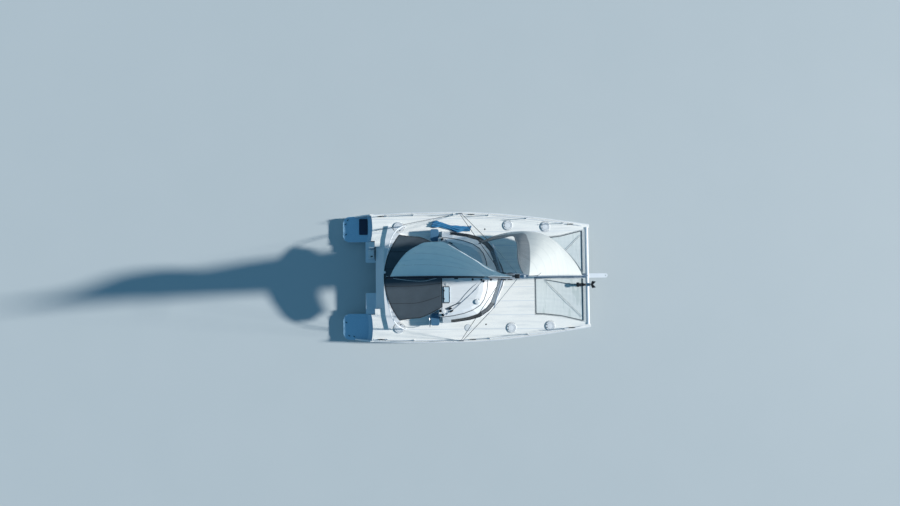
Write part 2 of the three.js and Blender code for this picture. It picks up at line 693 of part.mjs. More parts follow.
const WINCH_PLINTH = { aft: -1135, fore: -890, inner: 1370, outer: 1700, top: 2520 };
const winchDrum = (x, y) =>
  turned([[0, 0], [66, 0], [58, 20], [44, 60], [56, 95], [62, 118], [30, 132], [0, 132]], 16).translate(x, y, WINCH_PLINTH.top - 5);
for (const { name, side } of SIDES) {
  const plinth = prism(
    roundedRectangle(WINCH_PLINTH.aft, WINCH_PLINTH.fore, WINCH_PLINTH.inner, WINCH_PLINTH.outer, 60),
    2380,
    WINCH_PLINTH.top,
  );
  const pair = join(plinth, winchDrum(-965, 1620), winchDrum(-1060, 1445));
  add("winches_" + name, seatOn(side > 0 ? pair : mirrored(pair), cabinSolid), "steel");
}

// Under the water: keels, rudders, engine legs and propellers

const KEEL = { top: -500, bottom: -1050, y: 2310 };
const foilRing = (x0, x1, thick, y, z) => {
  const shares = [[0, 0], [0.12, 0.38], [0.32, 0.5], [0.65, 0.34], [1, 0.02]];
  const upper = shares.map(([t, w]) => [x1 + (x0 - x1) * t, y + w * thick, z]);
  const lower = shares.slice(1).reverse().map(([t, w]) => [x1 + (x0 - x1) * t, y - w * thick, z]);
  return [...upper, ...lower];
};
const keel = loft([
  foilRing(-900, 900, 190, KEEL.y, -420),
  foilRing(-760, 700, 160, KEEL.y, KEEL.bottom),
]);
const hullBelow = hullPort.clone().translate(0, 0, -GAP);
const keelPort = cut(keel, hullBelow);

const RUDDER = { fore: -4740, aft: -5140, top: -300, bottom: -900, thick: 62 };
const rudderBlade = loft([
  foilRing(RUDDER.aft - RUDDER_X, RUDDER.fore - RUDDER_X, RUDDER.thick, 0, RUDDER.top),
  foilRing(RUDDER.aft - RUDDER_X + 70, RUDDER.fore - RUDDER_X - 20, RUDDER.thick * 0.7, 0, RUDDER.bottom),
]);
const rudder = join(rudderBlade, rod([0, 0, RUDDER.top - 60], [0, 0, 140], STOCK_R, 24));

const LEG = { x: -3300, hubZ: -800, hubR: 62, hubAft: -3560, hubFore: -3120 };
const legY = 2300;
const strut = loft([
  foilRing(LEG.x - 150, LEG.x + 150, 90, legY, -380),
  foilRing(LEG.x - 110, LEG.x + 110, 60, legY, LEG.hubZ),
]);
const torpedo = rod([LEG.hubAft, legY, LEG.hubZ], [LEG.hubFore, legY, LEG.hubZ], LEG.hubR, 16, LEG.hubR * 0.45);
const legPort = cut(join(strut, torpedo), hullBelow);

const PROPELLER_R = 215;
function propellerGeometry() {
  const hub = rod([0, 0, 0], [-120, 0, 0], 55, 16, 30);
  const blades = [0, 120, 240].map((degrees) => {
    const stations = [
      { r: 30, half: 45, pitch: 55 },
      { r: 120, half: 72, pitch: 35 },
      { r: PROPELLER_R, half: 34, pitch: 22 },
    ];
    const rings = stations.map(({ r, half, pitch }) => {
      const a = THREE.MathUtils.degToRad(pitch);
      const [dx, dy] = [half * Math.sin(a), half * Math.cos(a)];
      const thick = 7;
      return [
        [-60 - dx, -dy, r],
        [-60 - thick, thick * 0.5, r],
        [-60 + dx, dy, r],
        [-60 + thick, -thick * 0.5, r],
      ];
    });
    return loft(rings).rotateX(THREE.MathUtils.degToRad(degrees));
  });
  return join(hub, ...blades);
}
const propeller = propellerGeometry();

for (const { name, side } of SIDES) {
  add("keel_" + name, side > 0 ? keelPort : mirrored(keelPort), "antifoul");
  add("engine_leg_" + name, side > 0 ? legPort : mirrored(legPort), "grey_moulding");
  add("rudder_" + name, rudder.clone(), "antifoul").position.set(RUDDER_X, side * HULL_CENTRE_AFT, 0);
  add("propeller_" + name, propeller.clone(), "bronze").position.set(LEG.hubAft - 0.6, side * legY, LEG.hubZ);
}

// Stern: the port platform's lid, the two small platforms between the hulls and the canister

const STERN_LID = { aft: -4850, fore: -4455, inner: 2000, outer: 2740, thick: 26 };
add(
  "stern_lid_port",
  prism(roundedRectangle(STERN_LID.aft, STERN_LID.fore, STERN_LID.inner, STERN_LID.outer, 40), PLATFORM_TOP + GAP, PLATFORM_TOP + STERN_LID.thick),
  "navy",
);
const AFT_PLATFORM = { aft: -4500, inner: 690, outer: 1640, top: 880, thick: 70 };
for (const { name, side } of SIDES) {
  const [y0, y1] = [AFT_PLATFORM.inner * side, AFT_PLATFORM.outer * side].sort((a, b) => a - b);
  const slab = prism(
    roundedRectangle(AFT_PLATFORM.aft, BRIDGE_AFT - GAP, y0, y1, 40),
    AFT_PLATFORM.top - AFT_PLATFORM.thick,
    AFT_PLATFORM.top,
  );
  add("aft_platform_" + name, slab, "grey_moulding");
}
const CANISTER = { aft: -4335, fore: -4050, inner: 1350, outer: 1630, high: 210 };
add(
  "canister",
  prism(roundedRectangle(CANISTER.aft, CANISTER.fore, CANISTER.inner, CANISTER.outer, 70), AFT_PLATFORM.top + GAP, AFT_PLATFORM.top + CANISTER.high),
  "gelcoat",
);

// Bow: crossbeam, centre spar, bowsprit, anchor and trampolines

const beamEnd = 2300;
const beamBar = (radius) => rod([BEAM_X, -beamEnd, BEAM_Z], [BEAM_X, beamEnd, BEAM_Z], radius, 16);
const hullsTowardsCentre = join(hullTrimmer, mirrored(hullTrimmer));
const outerStock = [1, -1].map((s) => block([4500, Math.min(s * 2160, s * 3200), 0], [6500, Math.max(s * 2160, s * 3200), 3000]));
add("bow_crossbeam", cut(beamBar(BEAM_R), hullsTowardsCentre, ...outerStock), "aluminium");
const aroundBeam = beamBar(BEAM_R + GAP);

const SPAR = { half: 95, thick: 70 };
const sparZ = (x) => deckAt(x) - 60;
const sparRing = (x) => [
  [x, SPAR.half, sparZ(x)],
  [x, SPAR.half, sparZ(x) - SPAR.thick],
  [x, -SPAR.half, sparZ(x) - SPAR.thick],
  [x, -SPAR.half, sparZ(x)],
];
add("centre_spar", cut(loft([sparRing(BRIDGE_FRONT + GAP), sparRing(BEAM_X)]), aroundBeam, block([BEAM_X - 20, -500, 0], [7000, 500, 3000])), "aluminium");

const SPRIT = { tip: 6380, half: 95, top: 1535, thick: 70, eyeX: 6285, eyeR: 34 };
const spritOutline = [
  [BEAM_X, -SPRIT.half],
  ...Array.from({ length: 9 }, (_, i) => {
    const a = -Math.PI / 2 + (Math.PI * i) / 8;
    return [SPRIT.tip - SPRIT.half + SPRIT.half * Math.cos(a), SPRIT.half * Math.sin(a)];
  }),
  [BEAM_X, SPRIT.half],
];
const spritEye = rod([SPRIT.eyeX, 0, 1300], [SPRIT.eyeX, 0, 1700], SPRIT.eyeR, 16);
add("bowsprit", cut(prism(spritOutline, SPRIT.top - SPRIT.thick, SPRIT.top), spritEye, aroundBeam), "aluminium");

const ANCHOR_Y = -400;
const SHANK_Z = BEAM_Z + BEAM_R + 34;
const ROLLER_R = 28;
const ROLLER_Z = SHANK_Z - 14 - ROLLER_R - GAP;
const ROLLER_TOP = BEAM_Z + BEAM_R + 62;
const cheek = (y) => block([BEAM_X - 90, y - 8, BEAM_Z + 20], [BEAM_X + 130, y + 8, ROLLER_TOP + 40]);
add(
  "anchor_roller",
  cut(
    join(
      cheek(ANCHOR_Y - 62),
      cheek(ANCHOR_Y + 62),
      block([BEAM_X - 90, ANCHOR_Y - 62, BEAM_Z + 40], [BEAM_X + 60, ANCHOR_Y + 62, BEAM_Z + BEAM_R + 14]),
      rod([BEAM_X + 95, ANCHOR_Y - 62, ROLLER_Z], [BEAM_X + 95, ANCHOR_Y + 62, ROLLER_Z], ROLLER_R, 12),
    ),
    aroundBeam,
  ),
  "steel",
);
function anchorGeometry() {
  const shank = block([BEAM_X - 620, ANCHOR_Y - 16, SHANK_Z - 14], [BEAM_X + 200, ANCHOR_Y + 16, SHANK_Z + 22]);
  const crown = block([BEAM_X + 170, ANCHOR_Y - 26, SHANK_Z - 110], [BEAM_X + 235, ANCHOR_Y + 26, SHANK_Z + 30]);
  const fluke = (side) => loft([
    [[BEAM_X + 150, ANCHOR_Y + side * 10, SHANK_Z - 60], [BEAM_X + 260, ANCHOR_Y + side * 10, SHANK_Z - 60], [BEAM_X + 260, ANCHOR_Y + side * 10, SHANK_Z - 84], [BEAM_X + 150, ANCHOR_Y + side * 10, SHANK_Z - 84]],
    [[BEAM_X + 190, ANCHOR_Y + side * 160, SHANK_Z - 10], [BEAM_X + 360, ANCHOR_Y + side * 130, SHANK_Z - 10], [BEAM_X + 360, ANCHOR_Y + side * 130, SHANK_Z - 26], [BEAM_X + 190, ANCHOR_Y + side * 160, SHANK_Z - 26]],
  ]);
  return join(shank, crown, fluke(1), fluke(-1));
}
add("anchor", anchorGeometry(), "black_plastic");

const TRAMPOLINE = { front: 5215, thick: 10, below: 70 };
const trampolineXs = [BRIDGE_FRONT + GAP, 3500, 4300, 5000, TRAMPOLINE.front];
const trampolinePort = loft(trampolineXs.map((x) => {
  const z = deckAt(x) - TRAMPOLINE.below;
  const outer = columnAt(HULL_SECTIONS, "inner", x) - GAP;
  const inner = SPAR.half + GAP;
  return [[x, outer, z], [x, outer, z - TRAMPOLINE.thick], [x, inner, z - TRAMPOLINE.thick], [x, inner, z]];
}));
const trampolineTrim = cut(trampolinePort, hullTrimmer);
add("trampoline_port", trampolineTrim, "mesh_cloth");
add("trampoline_starboard", mirrored(trampolineTrim), "mesh_cloth");

// Mast, spreaders and standing rigging

const MAST_SIDES = 12;
const mastRing = (halfLength, halfWidth, z) =>
  Array.from({ length: MAST_SIDES }, (_, i) => {
    const a = (2 * Math.PI * (i + 0.5)) / MAST_SIDES;
    return [MAST_X + halfLength * Math.cos(a), halfWidth * Math.sin(a), z];
  });
const MAST_SECTION = { length: 108, width: 76 };
const mastTube = (grow) => loft([
  mastRing(MAST_SECTION.length + grow, MAST_SECTION.width + grow, MAST_FOOT - grow),
  mastRing(MAST_SECTION.length + grow, MAST_SECTION.width + grow, 12200),
  mastRing(MAST_SECTION.length * 0.72 + grow, MAST_SECTION.width * 0.76 + grow, MAST_TOP + grow),
]);
const GOOSENECK_X = MAST_X - 190; // the boom's pin
const PIN_R = 12;
const gooseneckPlate = (z) => block([GOOSENECK_X - 32, -34, z], [MAST_X - 60, 34, z + 14]);
const gooseneck = [
  gooseneckPlate(GOOSENECK_Z + 46),
  gooseneckPlate(GOOSENECK_Z - 60),
  rod([GOOSENECK_X, 0, GOOSENECK_Z - 55], [GOOSENECK_X, 0, GOOSENECK_Z + 55], PIN_R, 16),
];
const masthead = block([MAST_X - 190, -32, MAST_TOP - 60], [MAST_X + 130, 32, MAST_TOP]);
add("mast", join(mastTube(0), ...gooseneck, masthead), "aluminium");
const aroundMast = mastTube(GAP);

const SPREADER_TIP = [MAST_X - 300, 1000, SPREADER_Z];
const CHAINPLATE = [-150, 2860, deckAt(-150)];
const WIRE_R = 6;
const onSide = ([x, y, z], side) => [x, side * y, z];
const CAP_FOOT = [CHAINPLATE[0] + 30, CHAINPLATE[1] - 8, CHAINPLATE[2] + 30];
const LOWER_FOOT = [CHAINPLATE[0] - 50, CHAINPLATE[1] - 8, CHAINPLATE[2] + 30];
const CAP_TOP = [MAST_X + 12, 10, HOUNDS_Z];
const LOWER_TOP = [MAST_X + 27, 10, SPREADER_Z - 160];
const capLower = (side, grow = 0) => rod(onSide(CAP_FOOT, side), onSide(SPREADER_TIP, side), WIRE_R + grow, 8);
const capUpper = (side, grow = 0) => rod(onSide(SPREADER_TIP, side), onSide(CAP_TOP, side), WIRE_R + grow, 8);
const SPREADER_R = 30;
const spreaderArms = [1, -1].map((side) =>
  rod([MAST_X, 0, SPREADER_Z], onSide([SPREADER_TIP[0] - 8, SPREADER_TIP[1] + 26, SPREADER_TIP[2]], side), SPREADER_R, 10, 16));
const spreaderCollar = cut(
  loft([
    mastRing(MAST_SECTION.length + 26, MAST_SECTION.width + 26, SPREADER_Z - 45),
    mastRing(MAST_SECTION.length + 26, MAST_SECTION.width + 26, SPREADER_Z + 45),
  ]),
  block([MAST_X - 300, -200, SPREADER_Z - 100], [MAST_X - 40, 200, SPREADER_Z + 100]),
);
const TIP_FITTING = [10, 10, 26]; // half sizes of the block that clamps a cap shroud in its spreader
const shroudTip = (side, grow = 0) =>
  new THREE.BoxGeometry(...TIP_FITTING.map((half) => 2 * (half + grow))).translate(...onSide(SPREADER_TIP, side));
function shroudsPort() {
  const plate = block([CHAINPLATE[0] - 110, CHAINPLATE[1] - 34, 1200], [CHAINPLATE[0] + 90, CHAINPLATE[1] + 10, CHAINPLATE[2] + 60]);
  const lower = rod(LOWER_FOOT, LOWER_TOP, WIRE_R, 8);
  const wires = join(plate, capLower(1), shroudTip(1), capUpper(1), lower);
  return cut(seatOn(wires, hullPort), aroundMast);
}
add("shrouds_port", shroudsPort(), "steel");
add("shrouds_starboard", mirrored(shroudsPort()), "steel");
const aroundShrouds = [1, -1].flatMap((side) => [capLower(side, GAP), capUpper(side, GAP), shroudTip(side, GAP)]);
add("spreaders", cut(join(...spreaderArms, spreaderCollar), aroundMast, ...aroundShrouds), "aluminium");

const STAY_FOOT = [5350, 0, BEAM_Z + 60];
const STAY_TOP = [MAST_X + 40, 0, HOUNDS_Z];
const stayAt = (z) => {
  const share = (z - STAY_FOOT[2]) / (STAY_TOP[2] - STAY_FOOT[2]);
  return STAY_FOOT.map((v, i) => THREE.MathUtils.lerp(v, STAY_TOP[i], share));
};
const FOIL_R = 18;
const FOIL_FROM = 1900;
const foil = (grow) => rod(stayAt(FOIL_FROM - grow), stayAt(13250), FOIL_R + grow, 8);
const drumFloor = rod(stayAt(1700), stayAt(1712), 100, 16);
const drumLid = rod(stayAt(1790), stayAt(1802), 100, 16);
const drumCore = rod(stayAt(1690), stayAt(FOIL_FROM + 20), 46, 12);
const stayLink = rod(STAY_FOOT, stayAt(1720), 20, 10);
const beamTang = block([STAY_FOOT[0] - 30, -22, BEAM_Z - 20], [BEAM_X, 22, BEAM_Z + BEAM_R + 40]);
const forestay = join(rod(stayAt(1650), STAY_TOP, 8, 8), foil(0), drumFloor, drumLid, drumCore, stayLink, beamTang);
const spritSpace = block([BEAM_X - 20, -200, 0], [7000, 200, SPRIT.top + GAP]);
const sparSpace = block([BRIDGE_FRONT, -200, 0], [BEAM_X, 200, sparZ(BEAM_X) + GAP]);
add("forestay", cut(forestay, aroundMast, aroundBeam, spritSpace, sparSpace), "aluminium");

// Boom and sails

const BOOM = { aft: -3250, halfHigh: 88, halfWide: 52 };
const boomRing = (x, share) =>
  Array.from({ length: 10 }, (_, i) => {
    const a = (2 * Math.PI * (i + 0.5)) / 10;
    return [x, BOOM.halfWide * share * Math.sin(a), GOOSENECK_Z + BOOM.halfHigh * share * Math.cos(a)];
  });
const boomTube = loft([boomRing(BOOM.aft, 0.8), boomRing(BOOM.aft + 60, 1), boomRing(GOOSENECK_X - 150, 1), boomRing(GOOSENECK_X - 110, 0.7)]);
const boomTang = block([GOOSENECK_X - 130, -20, GOOSENECK_Z - 40], [GOOSENECK_X + 24, 20, GOOSENECK_Z + 40]);
const pinHole = rod([GOOSENECK_X, 0, GOOSENECK_Z - 80], [GOOSENECK_X, 0, GOOSENECK_Z + 80], PIN_R + 1, 16);
add("boom", cut(join(boomTube, boomTang), pinHole), "aluminium");

// The point at a share along a chord, pushed out to port by a belly.
function sailPoint(luff, leech, share, belly) {
  const [dx, dy] = [leech[0] - luff[0], leech[1] - luff[1]];
  const length = Math.hypot(dx, dy) || 1;
  const push = belly * Math.sin(Math.PI * share) ** 0.8;
  return [
    luff[0] + dx * share + (dy / length) * push,
    luff[1] + dy * share - (dx / length) * push,
    THREE.MathUtils.lerp(luff[2], leech[2], share),
  ];
}

// Mainsail levels from foot to head: leech place, height, and belly to port.
const MAINSAIL = [
  { x: -3080, y: 40, z: GOOSENECK_Z + BOOM.halfHigh + 0.6, belly: 30 },
  { x: -2750, y: 470, z: 5000, belly: 260 },
  { x: -2250, y: 930, z: 6000, belly: 330 },
  { x: -1710, y: 1170, z: 7000, belly: 300 },
  { x: -1240, y: 1200, z: 8000, belly: 130 },
  { x: -760, y: 1080, z: 9000, belly: 20 },
  { x: -80, y: 610, z: 10300, belly: 10 },
  { x: 420, y: 220, z: 11600, belly: 10 },
  { x: 800, y: 20, z: 12900, belly: 5 },
];
const LUFF_GAP = 3;
const LUFF_X = MAST_X - MAST_SECTION.length - LUFF_GAP;
const SAIL_THICK = 12;
const HEADBOARD_X = LUFF_X + 14; // the mast tapers, so the luff leans forward with it at the top
const SAIL_STEPS = 8;
const shares = (count) => Array.from({ length: count + 1 }, (_, i) => i / count);
const mainsailGrid = MAINSAIL.map(({ x, y, z, belly }) => {
  const luffX = z > 12200 ? THREE.MathUtils.lerp(LUFF_X, HEADBOARD_X, (z - 12200) / 1200) : LUFF_X;
  return shares(SAIL_STEPS).map((share) => sailPoint([luffX, 0, z], [x, y, z], share, belly));
});
add("mainsail", sheet(mainsailGrid, SAIL_THICK), "mainsail_cloth");

// Genoa levels from foot to head: height of the luff on the stay, leech place, and belly to port.
const GENOA = [
  { luffZ: 1960, x: 550, y: 1390, z: 2600, belly: 1180 },
  { luffZ: 3400, x: 950, y: 1450, z: 3600, belly: 1080 },
  { luffZ: 4900, x: 1230, y: 1470, z: 4600, belly: 960 },
  { luffZ: 6800, x: 1590, y: 1450, z: 6600, belly: 760 },
  { luffZ: 8400, x: 1560, y: 1200, z: 8200, belly: 560 },
  { luffZ: 10100, x: 1410, y: 820, z: 10000, belly: 340 },
  { luffZ: 11900, x: 1230, y: 380, z: 11850, belly: 120 },
  { luffZ: 13100, x: 1200, y: 90, z: 13080, belly: 15 },
];
const genoaGrid = GENOA.map(({ luffZ, x, y, z, belly }) =>
  shares(SAIL_STEPS).map((share) => sailPoint(stayAt(luffZ), [x, y, z], share, belly)),
);
add("genoa", cut(sheet(genoaGrid, SAIL_THICK), foil(GAP), mastTube(6)), "genoa_cloth");

// Guard rails: a toe rail along each sheer with its stanchions and cleats

const RAIL = { inset: 128, half: 14, high: 26, aft: -4080, fore: 5250 };
const STANCHION_XS = [-3500, -2290, -500, 1080, 2770, 4390];
const CLEAT_XS = [-3750, 340, 4750];
const STANCHION = { high: 610, r: 13 };
const sheerAt = (x) => columnAt(HULL_SECTIONS, "outer", x) - RAIL.inset;
function guardRail() {
  const xs = [RAIL.aft, ...HULL_SECTIONS.map(({ x }) => x).filter((x) => x > RAIL.aft && x < RAIL.fore), RAIL.fore];
  const outer = xs.map((x) => [x, sheerAt(x) + RAIL.half]);
  const inner = xs.map((x) => [x, sheerAt(x) - RAIL.half]).reverse();
  const stanchions = STANCHION_XS.flatMap((x) => [
    rod([x, sheerAt(x), GAP], [x, sheerAt(x), STANCHION.high], STANCHION.r, 8),
    rod([x, sheerAt(x), GAP], [x, sheerAt(x), 60], 2 * STANCHION.r, 8),
  ]);
  const cleats = CLEAT_XS.flatMap((x) => [
    block([x - 60, sheerAt(x) - 22, GAP], [x + 60, sheerAt(x) + 22, 42]),
    block([x - 140, sheerAt(x) - 16, 40], [x + 140, sheerAt(x) + 16, 62]),
  ]);
  return join(prism([...outer, ...inner], GAP, RAIL.high), ...stanchions, ...cleats);
}
const railPort = guardRail();
add("guard_rail_port", railPort, "steel", onDeck);
add("guard_rail_starboard", mirrored(railPort), "steel", onDeck);

// The bundle of blue cloth lying on the port side deck
const BUNDLE_R = 130;
const BUNDLE_ROUTE = [[-1400, 2340], [-1050, 2300], [-600, 2230], [-200, 2170], [100, 2150], [270, 2130]];
const bundle = bentTube(BUNDLE_ROUTE.map(([x, y]) => [x, y, BUNDLE_R - 18]), BUNDLE_R, 12, 8);
add("blue_bundle", cut(bundle, block([-3000, 0, -300], [3000, 4000, GAP])), "blue_cloth", onDeck);

export default boat;
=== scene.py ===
import math

import bmesh
import bpy
from mathutils import Euler, Matrix, Vector
from mathutils.bvhtree import BVHTree


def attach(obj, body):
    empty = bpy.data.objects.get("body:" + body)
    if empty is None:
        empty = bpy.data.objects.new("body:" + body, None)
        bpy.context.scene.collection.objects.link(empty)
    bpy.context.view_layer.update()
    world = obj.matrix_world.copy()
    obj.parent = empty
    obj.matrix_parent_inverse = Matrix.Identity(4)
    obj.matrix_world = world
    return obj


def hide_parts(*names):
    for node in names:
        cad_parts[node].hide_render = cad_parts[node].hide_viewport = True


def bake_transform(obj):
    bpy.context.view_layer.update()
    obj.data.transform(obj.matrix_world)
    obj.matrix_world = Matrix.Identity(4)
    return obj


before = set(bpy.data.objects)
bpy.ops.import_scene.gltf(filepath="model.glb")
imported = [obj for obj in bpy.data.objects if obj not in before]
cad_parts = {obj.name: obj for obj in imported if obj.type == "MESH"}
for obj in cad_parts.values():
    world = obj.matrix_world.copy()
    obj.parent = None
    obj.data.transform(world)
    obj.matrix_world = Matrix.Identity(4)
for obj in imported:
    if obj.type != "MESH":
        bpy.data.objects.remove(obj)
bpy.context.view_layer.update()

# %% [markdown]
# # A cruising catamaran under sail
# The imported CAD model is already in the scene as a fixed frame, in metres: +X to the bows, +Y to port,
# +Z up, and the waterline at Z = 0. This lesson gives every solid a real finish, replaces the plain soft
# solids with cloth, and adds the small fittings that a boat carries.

# %% [markdown]
# ## The viewpoint
# The picture was taken from straight above, about 28 m up, with a wide lens. A camera looks along its
# own -Z, so its axes are given directly as the columns of a matrix: right, up and backwards.

# %% Camera
CAMERA_PLACE = Vector((-0.65, 0.0, 28.3))
CAMERA_TURN = math.radians(0.61)
CAMERA_TILT = math.radians(2.29)
camera_data = bpy.data.cameras.new("drone_camera")
camera_data.lens = 24.0
camera_data.sensor_width = 36.0
camera_data.clip_end = 500.0
camera = bpy.data.objects.new("drone_camera", camera_data)
bpy.context.scene.collection.objects.link(camera)
right = Vector((math.cos(CAMERA_TURN), -math.sin(CAMERA_TURN), 0))
level_up = Vector((math.sin(CAMERA_TURN), math.cos(CAMERA_TURN), 0))
look = level_up * math.sin(CAMERA_TILT) - Vector((0, 0, 1)) * math.cos(CAMERA_TILT)
picture_up = right.cross(look)
axes = Matrix((right, picture_up, -look)).transposed().to_4x4()
camera.matrix_world = Matrix.Translation(CAMERA_PLACE) @ axes
bpy.context.scene.camera = camera
print("camera looks along", tuple(round(v, 3) for v in look))

# %% [markdown]
# ## Small helpers
# Colours are picked as sRGB hex values, as in any paint program, but the shaders calculate in linear
# light, so one function translates them. Two more add a node with its settings and its links.


# %% Helpers for colours and nodes
def linear(hex_colour):
    """An sRGB colour such as #E8EAEB as linear RGBA."""
    parts = [int(hex_colour[i:i + 2], 16) / 255 for i in (1, 3, 5)]
    return (*[c / 12.92 if c <= 0.04045 else ((c + 0.055) / 1.055) ** 2.4 for c in parts], 1.0)


def give(tree, node, inputs):
    """Sets a node's inputs. Each is a number, a hex colour, or the output socket that it is linked to."""
    for key, value in inputs.items():
        if isinstance(value, bpy.types.NodeSocket):
            tree.links.new(value, node.inputs[key])
        else:
            is_colour = isinstance(value, str) and value.startswith("#")
            node.inputs[key].default_value = linear(value) if is_colour else value


def put(tree, kind, inputs=None, **settings):
    """Adds a node with its settings and its inputs."""
    node = tree.nodes.new(kind)
    for key, value in settings.items():
        setattr(node, key, value)
    give(tree, node, inputs or {})
    return node


# %% [markdown]
# ## Finishes
# A surface looks real when its colour drifts a little from place to place, and its roughness and height
# change at a small scale. One class sets up both from sizes in millimetres.


# %% The common base of a finish
class Finish:
    """A new material with a drifting colour and a fine grain, and short ways to build on it."""

    def __init__(self, name, light, dark, roughness, metallic=0.0, drift_mm=400, grain_mm=6, height_mm=0.3):
        self.material = bpy.data.materials.new(name)
        self.material.use_nodes = True
        self.tree = self.material.node_tree
        self.tree.nodes.clear()
        self.shader = self.add("BsdfPrincipled", {"Metallic": metallic})
        self.add("OutputMaterial", {"Surface": self.shader.outputs[0]}, name="Output")
        self.place = self.add("TexCoord").outputs["Object"]
        self.colour = self.mix(self.noise(self.place, Scale=1000 / drift_mm, Detail=4.0), dark, light)
        grain = self.noise(self.place, Scale=1000 / grain_mm, Detail=2.0)
        self.normal = None
        self.relief(grain, height_mm / 1000, 0.6)
        rough = self.spread(grain, roughness * 0.8, min(roughness * 1.25, 1.0))
        self.finished({"Base Color": self.colour, "Roughness": rough})

    def add(self, kind, inputs=None, **settings):
        return put(self.tree, "ShaderNode" + kind, inputs, **settings)

    def finished(self, inputs):
        """Gives the shader what is new, and returns the material."""
        give(self.tree, self.shader, inputs)
        return self.material

    def noise(self, place, stretch=None, **facts):
        """Noise, which can be drawn out along the axes."""
        if stretch:
            place = self.add("Mapping", {"Vector": place, "Scale": stretch}).outputs[0]
        return self.add("TexNoise", {"Vector": place, **facts}).outputs["Fac"]

    def mix(self, share, first, second):
        """A colour that goes from first to second with the share."""
        return self.add("Mix", {0: share, 6: first, 7: second}, data_type="RGBA").outputs[2]

    def spread(self, value, low, high):
        """A value from 0 to 1 spread from low to high."""
        return self.add("MapRange", {"Value": value, "To Min": low, "To Max": high}).outputs[0]

    def above(self, value, edge, soft):
        """A mask that rises from 0 to 1 where the value passes an edge."""
        ends = {"From Min": edge - soft, "From Max": edge + soft}
        return self.add("MapRange", {"Value": value, **ends}, interpolation_type="SMOOTHSTEP").outputs[0]

    def work(self, operation, first, second):
        """One step of arithmetic between two values."""
        return self.add("Math", {0: first, 1: second}, operation=operation).outputs[0]

    def times(self, first, second):
        return self.work("MULTIPLY", first, second)

    def below(self, value, edge, soft):
        """A mask that falls from 1 to 0 where the value passes an edge."""
        return self.work("SUBTRACT", 1.0, self.above(value, edge, soft))

    def split(self, vector):
        return self.add("SeparateXYZ", {0: vector}).outputs

    def relief(self, height, distance, strength):
        """Raises the surface by a height, on top of the relief that it already has."""
        facts = {"Height": height, "Distance": distance, "Strength": strength}
        if self.normal:
            facts["Normal"] = self.normal
        self.normal = self.add("Bump", facts).outputs[0]
        self.finished({"Normal": self.normal})


# %% [markdown]
# ### Gelcoat with a moulded non-slip deck
# The hulls and the deck are glass fibre from a polished mould, with a smooth and glossy gelcoat. Where
# people walk the mould has a diamond pattern, in panels with smooth strips between them, and below the
# waterline comes rolled antifouling paint. One material reads all of that from a point's position and
# normal. Real diamonds are 3 mm apart, too fine for the picture, so they are drawn 14 mm apart.

# %% Gelcoat, non-slip and antifouling by position
WATERLINE_Z = 0.05
PANEL_WIDTH = 0.62
PANEL_STRIP = 0.035
PANEL_SHIFT = 20.31
DIAMOND_MM = 14


def moulded_glass_fibre(name, deck_low, deck_high, walk="#E0E2E3", painted=True):
    base = Finish(name, "#E7E9EA", "#DDE0E3", 0.26, drift_mm=900, grain_mm=45, height_mm=0.5)
    _along, across, height = base.split(base.place)
    upward = base.above(base.split(base.add("TexCoord").outputs["Normal"])[2], 0.95, 0.02)
    on_deck = base.times(upward, base.above(height, deck_low, 0.01))
    on_deck = base.times(on_deck, base.below(height, deck_high, 0.01))
    saw = base.work("PINGPONG", base.work("ADD", across, PANEL_SHIFT), PANEL_WIDTH / 2)
    panels = base.times(on_deck, base.above(saw, PANEL_STRIP / 2, 0.006))
    diamonds = base.add("TexVoronoi", {"Vector": base.place, "Scale": 1000 / DIAMOND_MM},
                        distance="MANHATTAN").outputs["Distance"]
    speckle = base.above(diamonds, 0.45, 0.2)
    colour = base.mix(panels, base.colour, base.mix(speckle, "#DCE0E1", walk))
    streaks = base.noise(base.place, (0.35, 3.2, 1.0), Scale=2.2, Detail=5.0)
    stained = base.times(base.above(streaks, 0.6, 0.16), 0.35)
    colour = base.mix(base.times(stained, on_deck), colour, "#BFC4C8")
    rough = base.spread(panels, 0.26, 0.62)
    if painted:
        wavy = base.work("ADD", height, base.times(streaks, 0.03))
        under = base.below(wavy, WATERLINE_Z, 0.004)
        colour = base.mix(under, colour, base.mix(streaks, "#1E2C3E", "#33465C"))
        # Upward faces below 0.9 m, the low steps and platforms, get a blue speckled tone: painted shade.
        low_step_painted_shade = base.times(upward, base.below(height, 0.9, 0.1))
        colour = base.mix(low_step_painted_shade, colour, base.mix(speckle, "#86B0CC", "#A0C8E0"))
        rough = base.work("ADD", rough, base.spread(under, 0.0, 0.5))
    base.relief(base.times(panels, diamonds), 0.0012, 0.7)
    return base.finished({
        "Base Color": colour, "Roughness": rough, "Coat Weight": 0.35, "Coat Roughness": 0.12,
    })


HULL_GELCOAT = moulded_glass_fibre("hull_gelcoat", 1.1, 1.6, walk="#F6F4EE")
ROOF_GELCOAT = moulded_glass_fibre("coachroof_gelcoat", 2.46, 2.52, painted=False)
SMOOTH_GELCOAT = moulded_glass_fibre("smooth_gelcoat", 9.0, 9.1, painted=False)

# %% [markdown]
# ### Hard finishes
# Anodised aluminium is a satin grey, polished stainless steel is mirror bright, and cast bronze goes
# brown where the polish wears off. The windows are tinted acrylic sheet. Metals keep the default index
# of refraction, because their look comes from the metallic value.


# %% Metals, acrylic and moulded plastics
def hard(*facts):
    """Name, two colours, roughness, metallic, then drift, grain and its height in millimetres."""
    return Finish(*facts).material


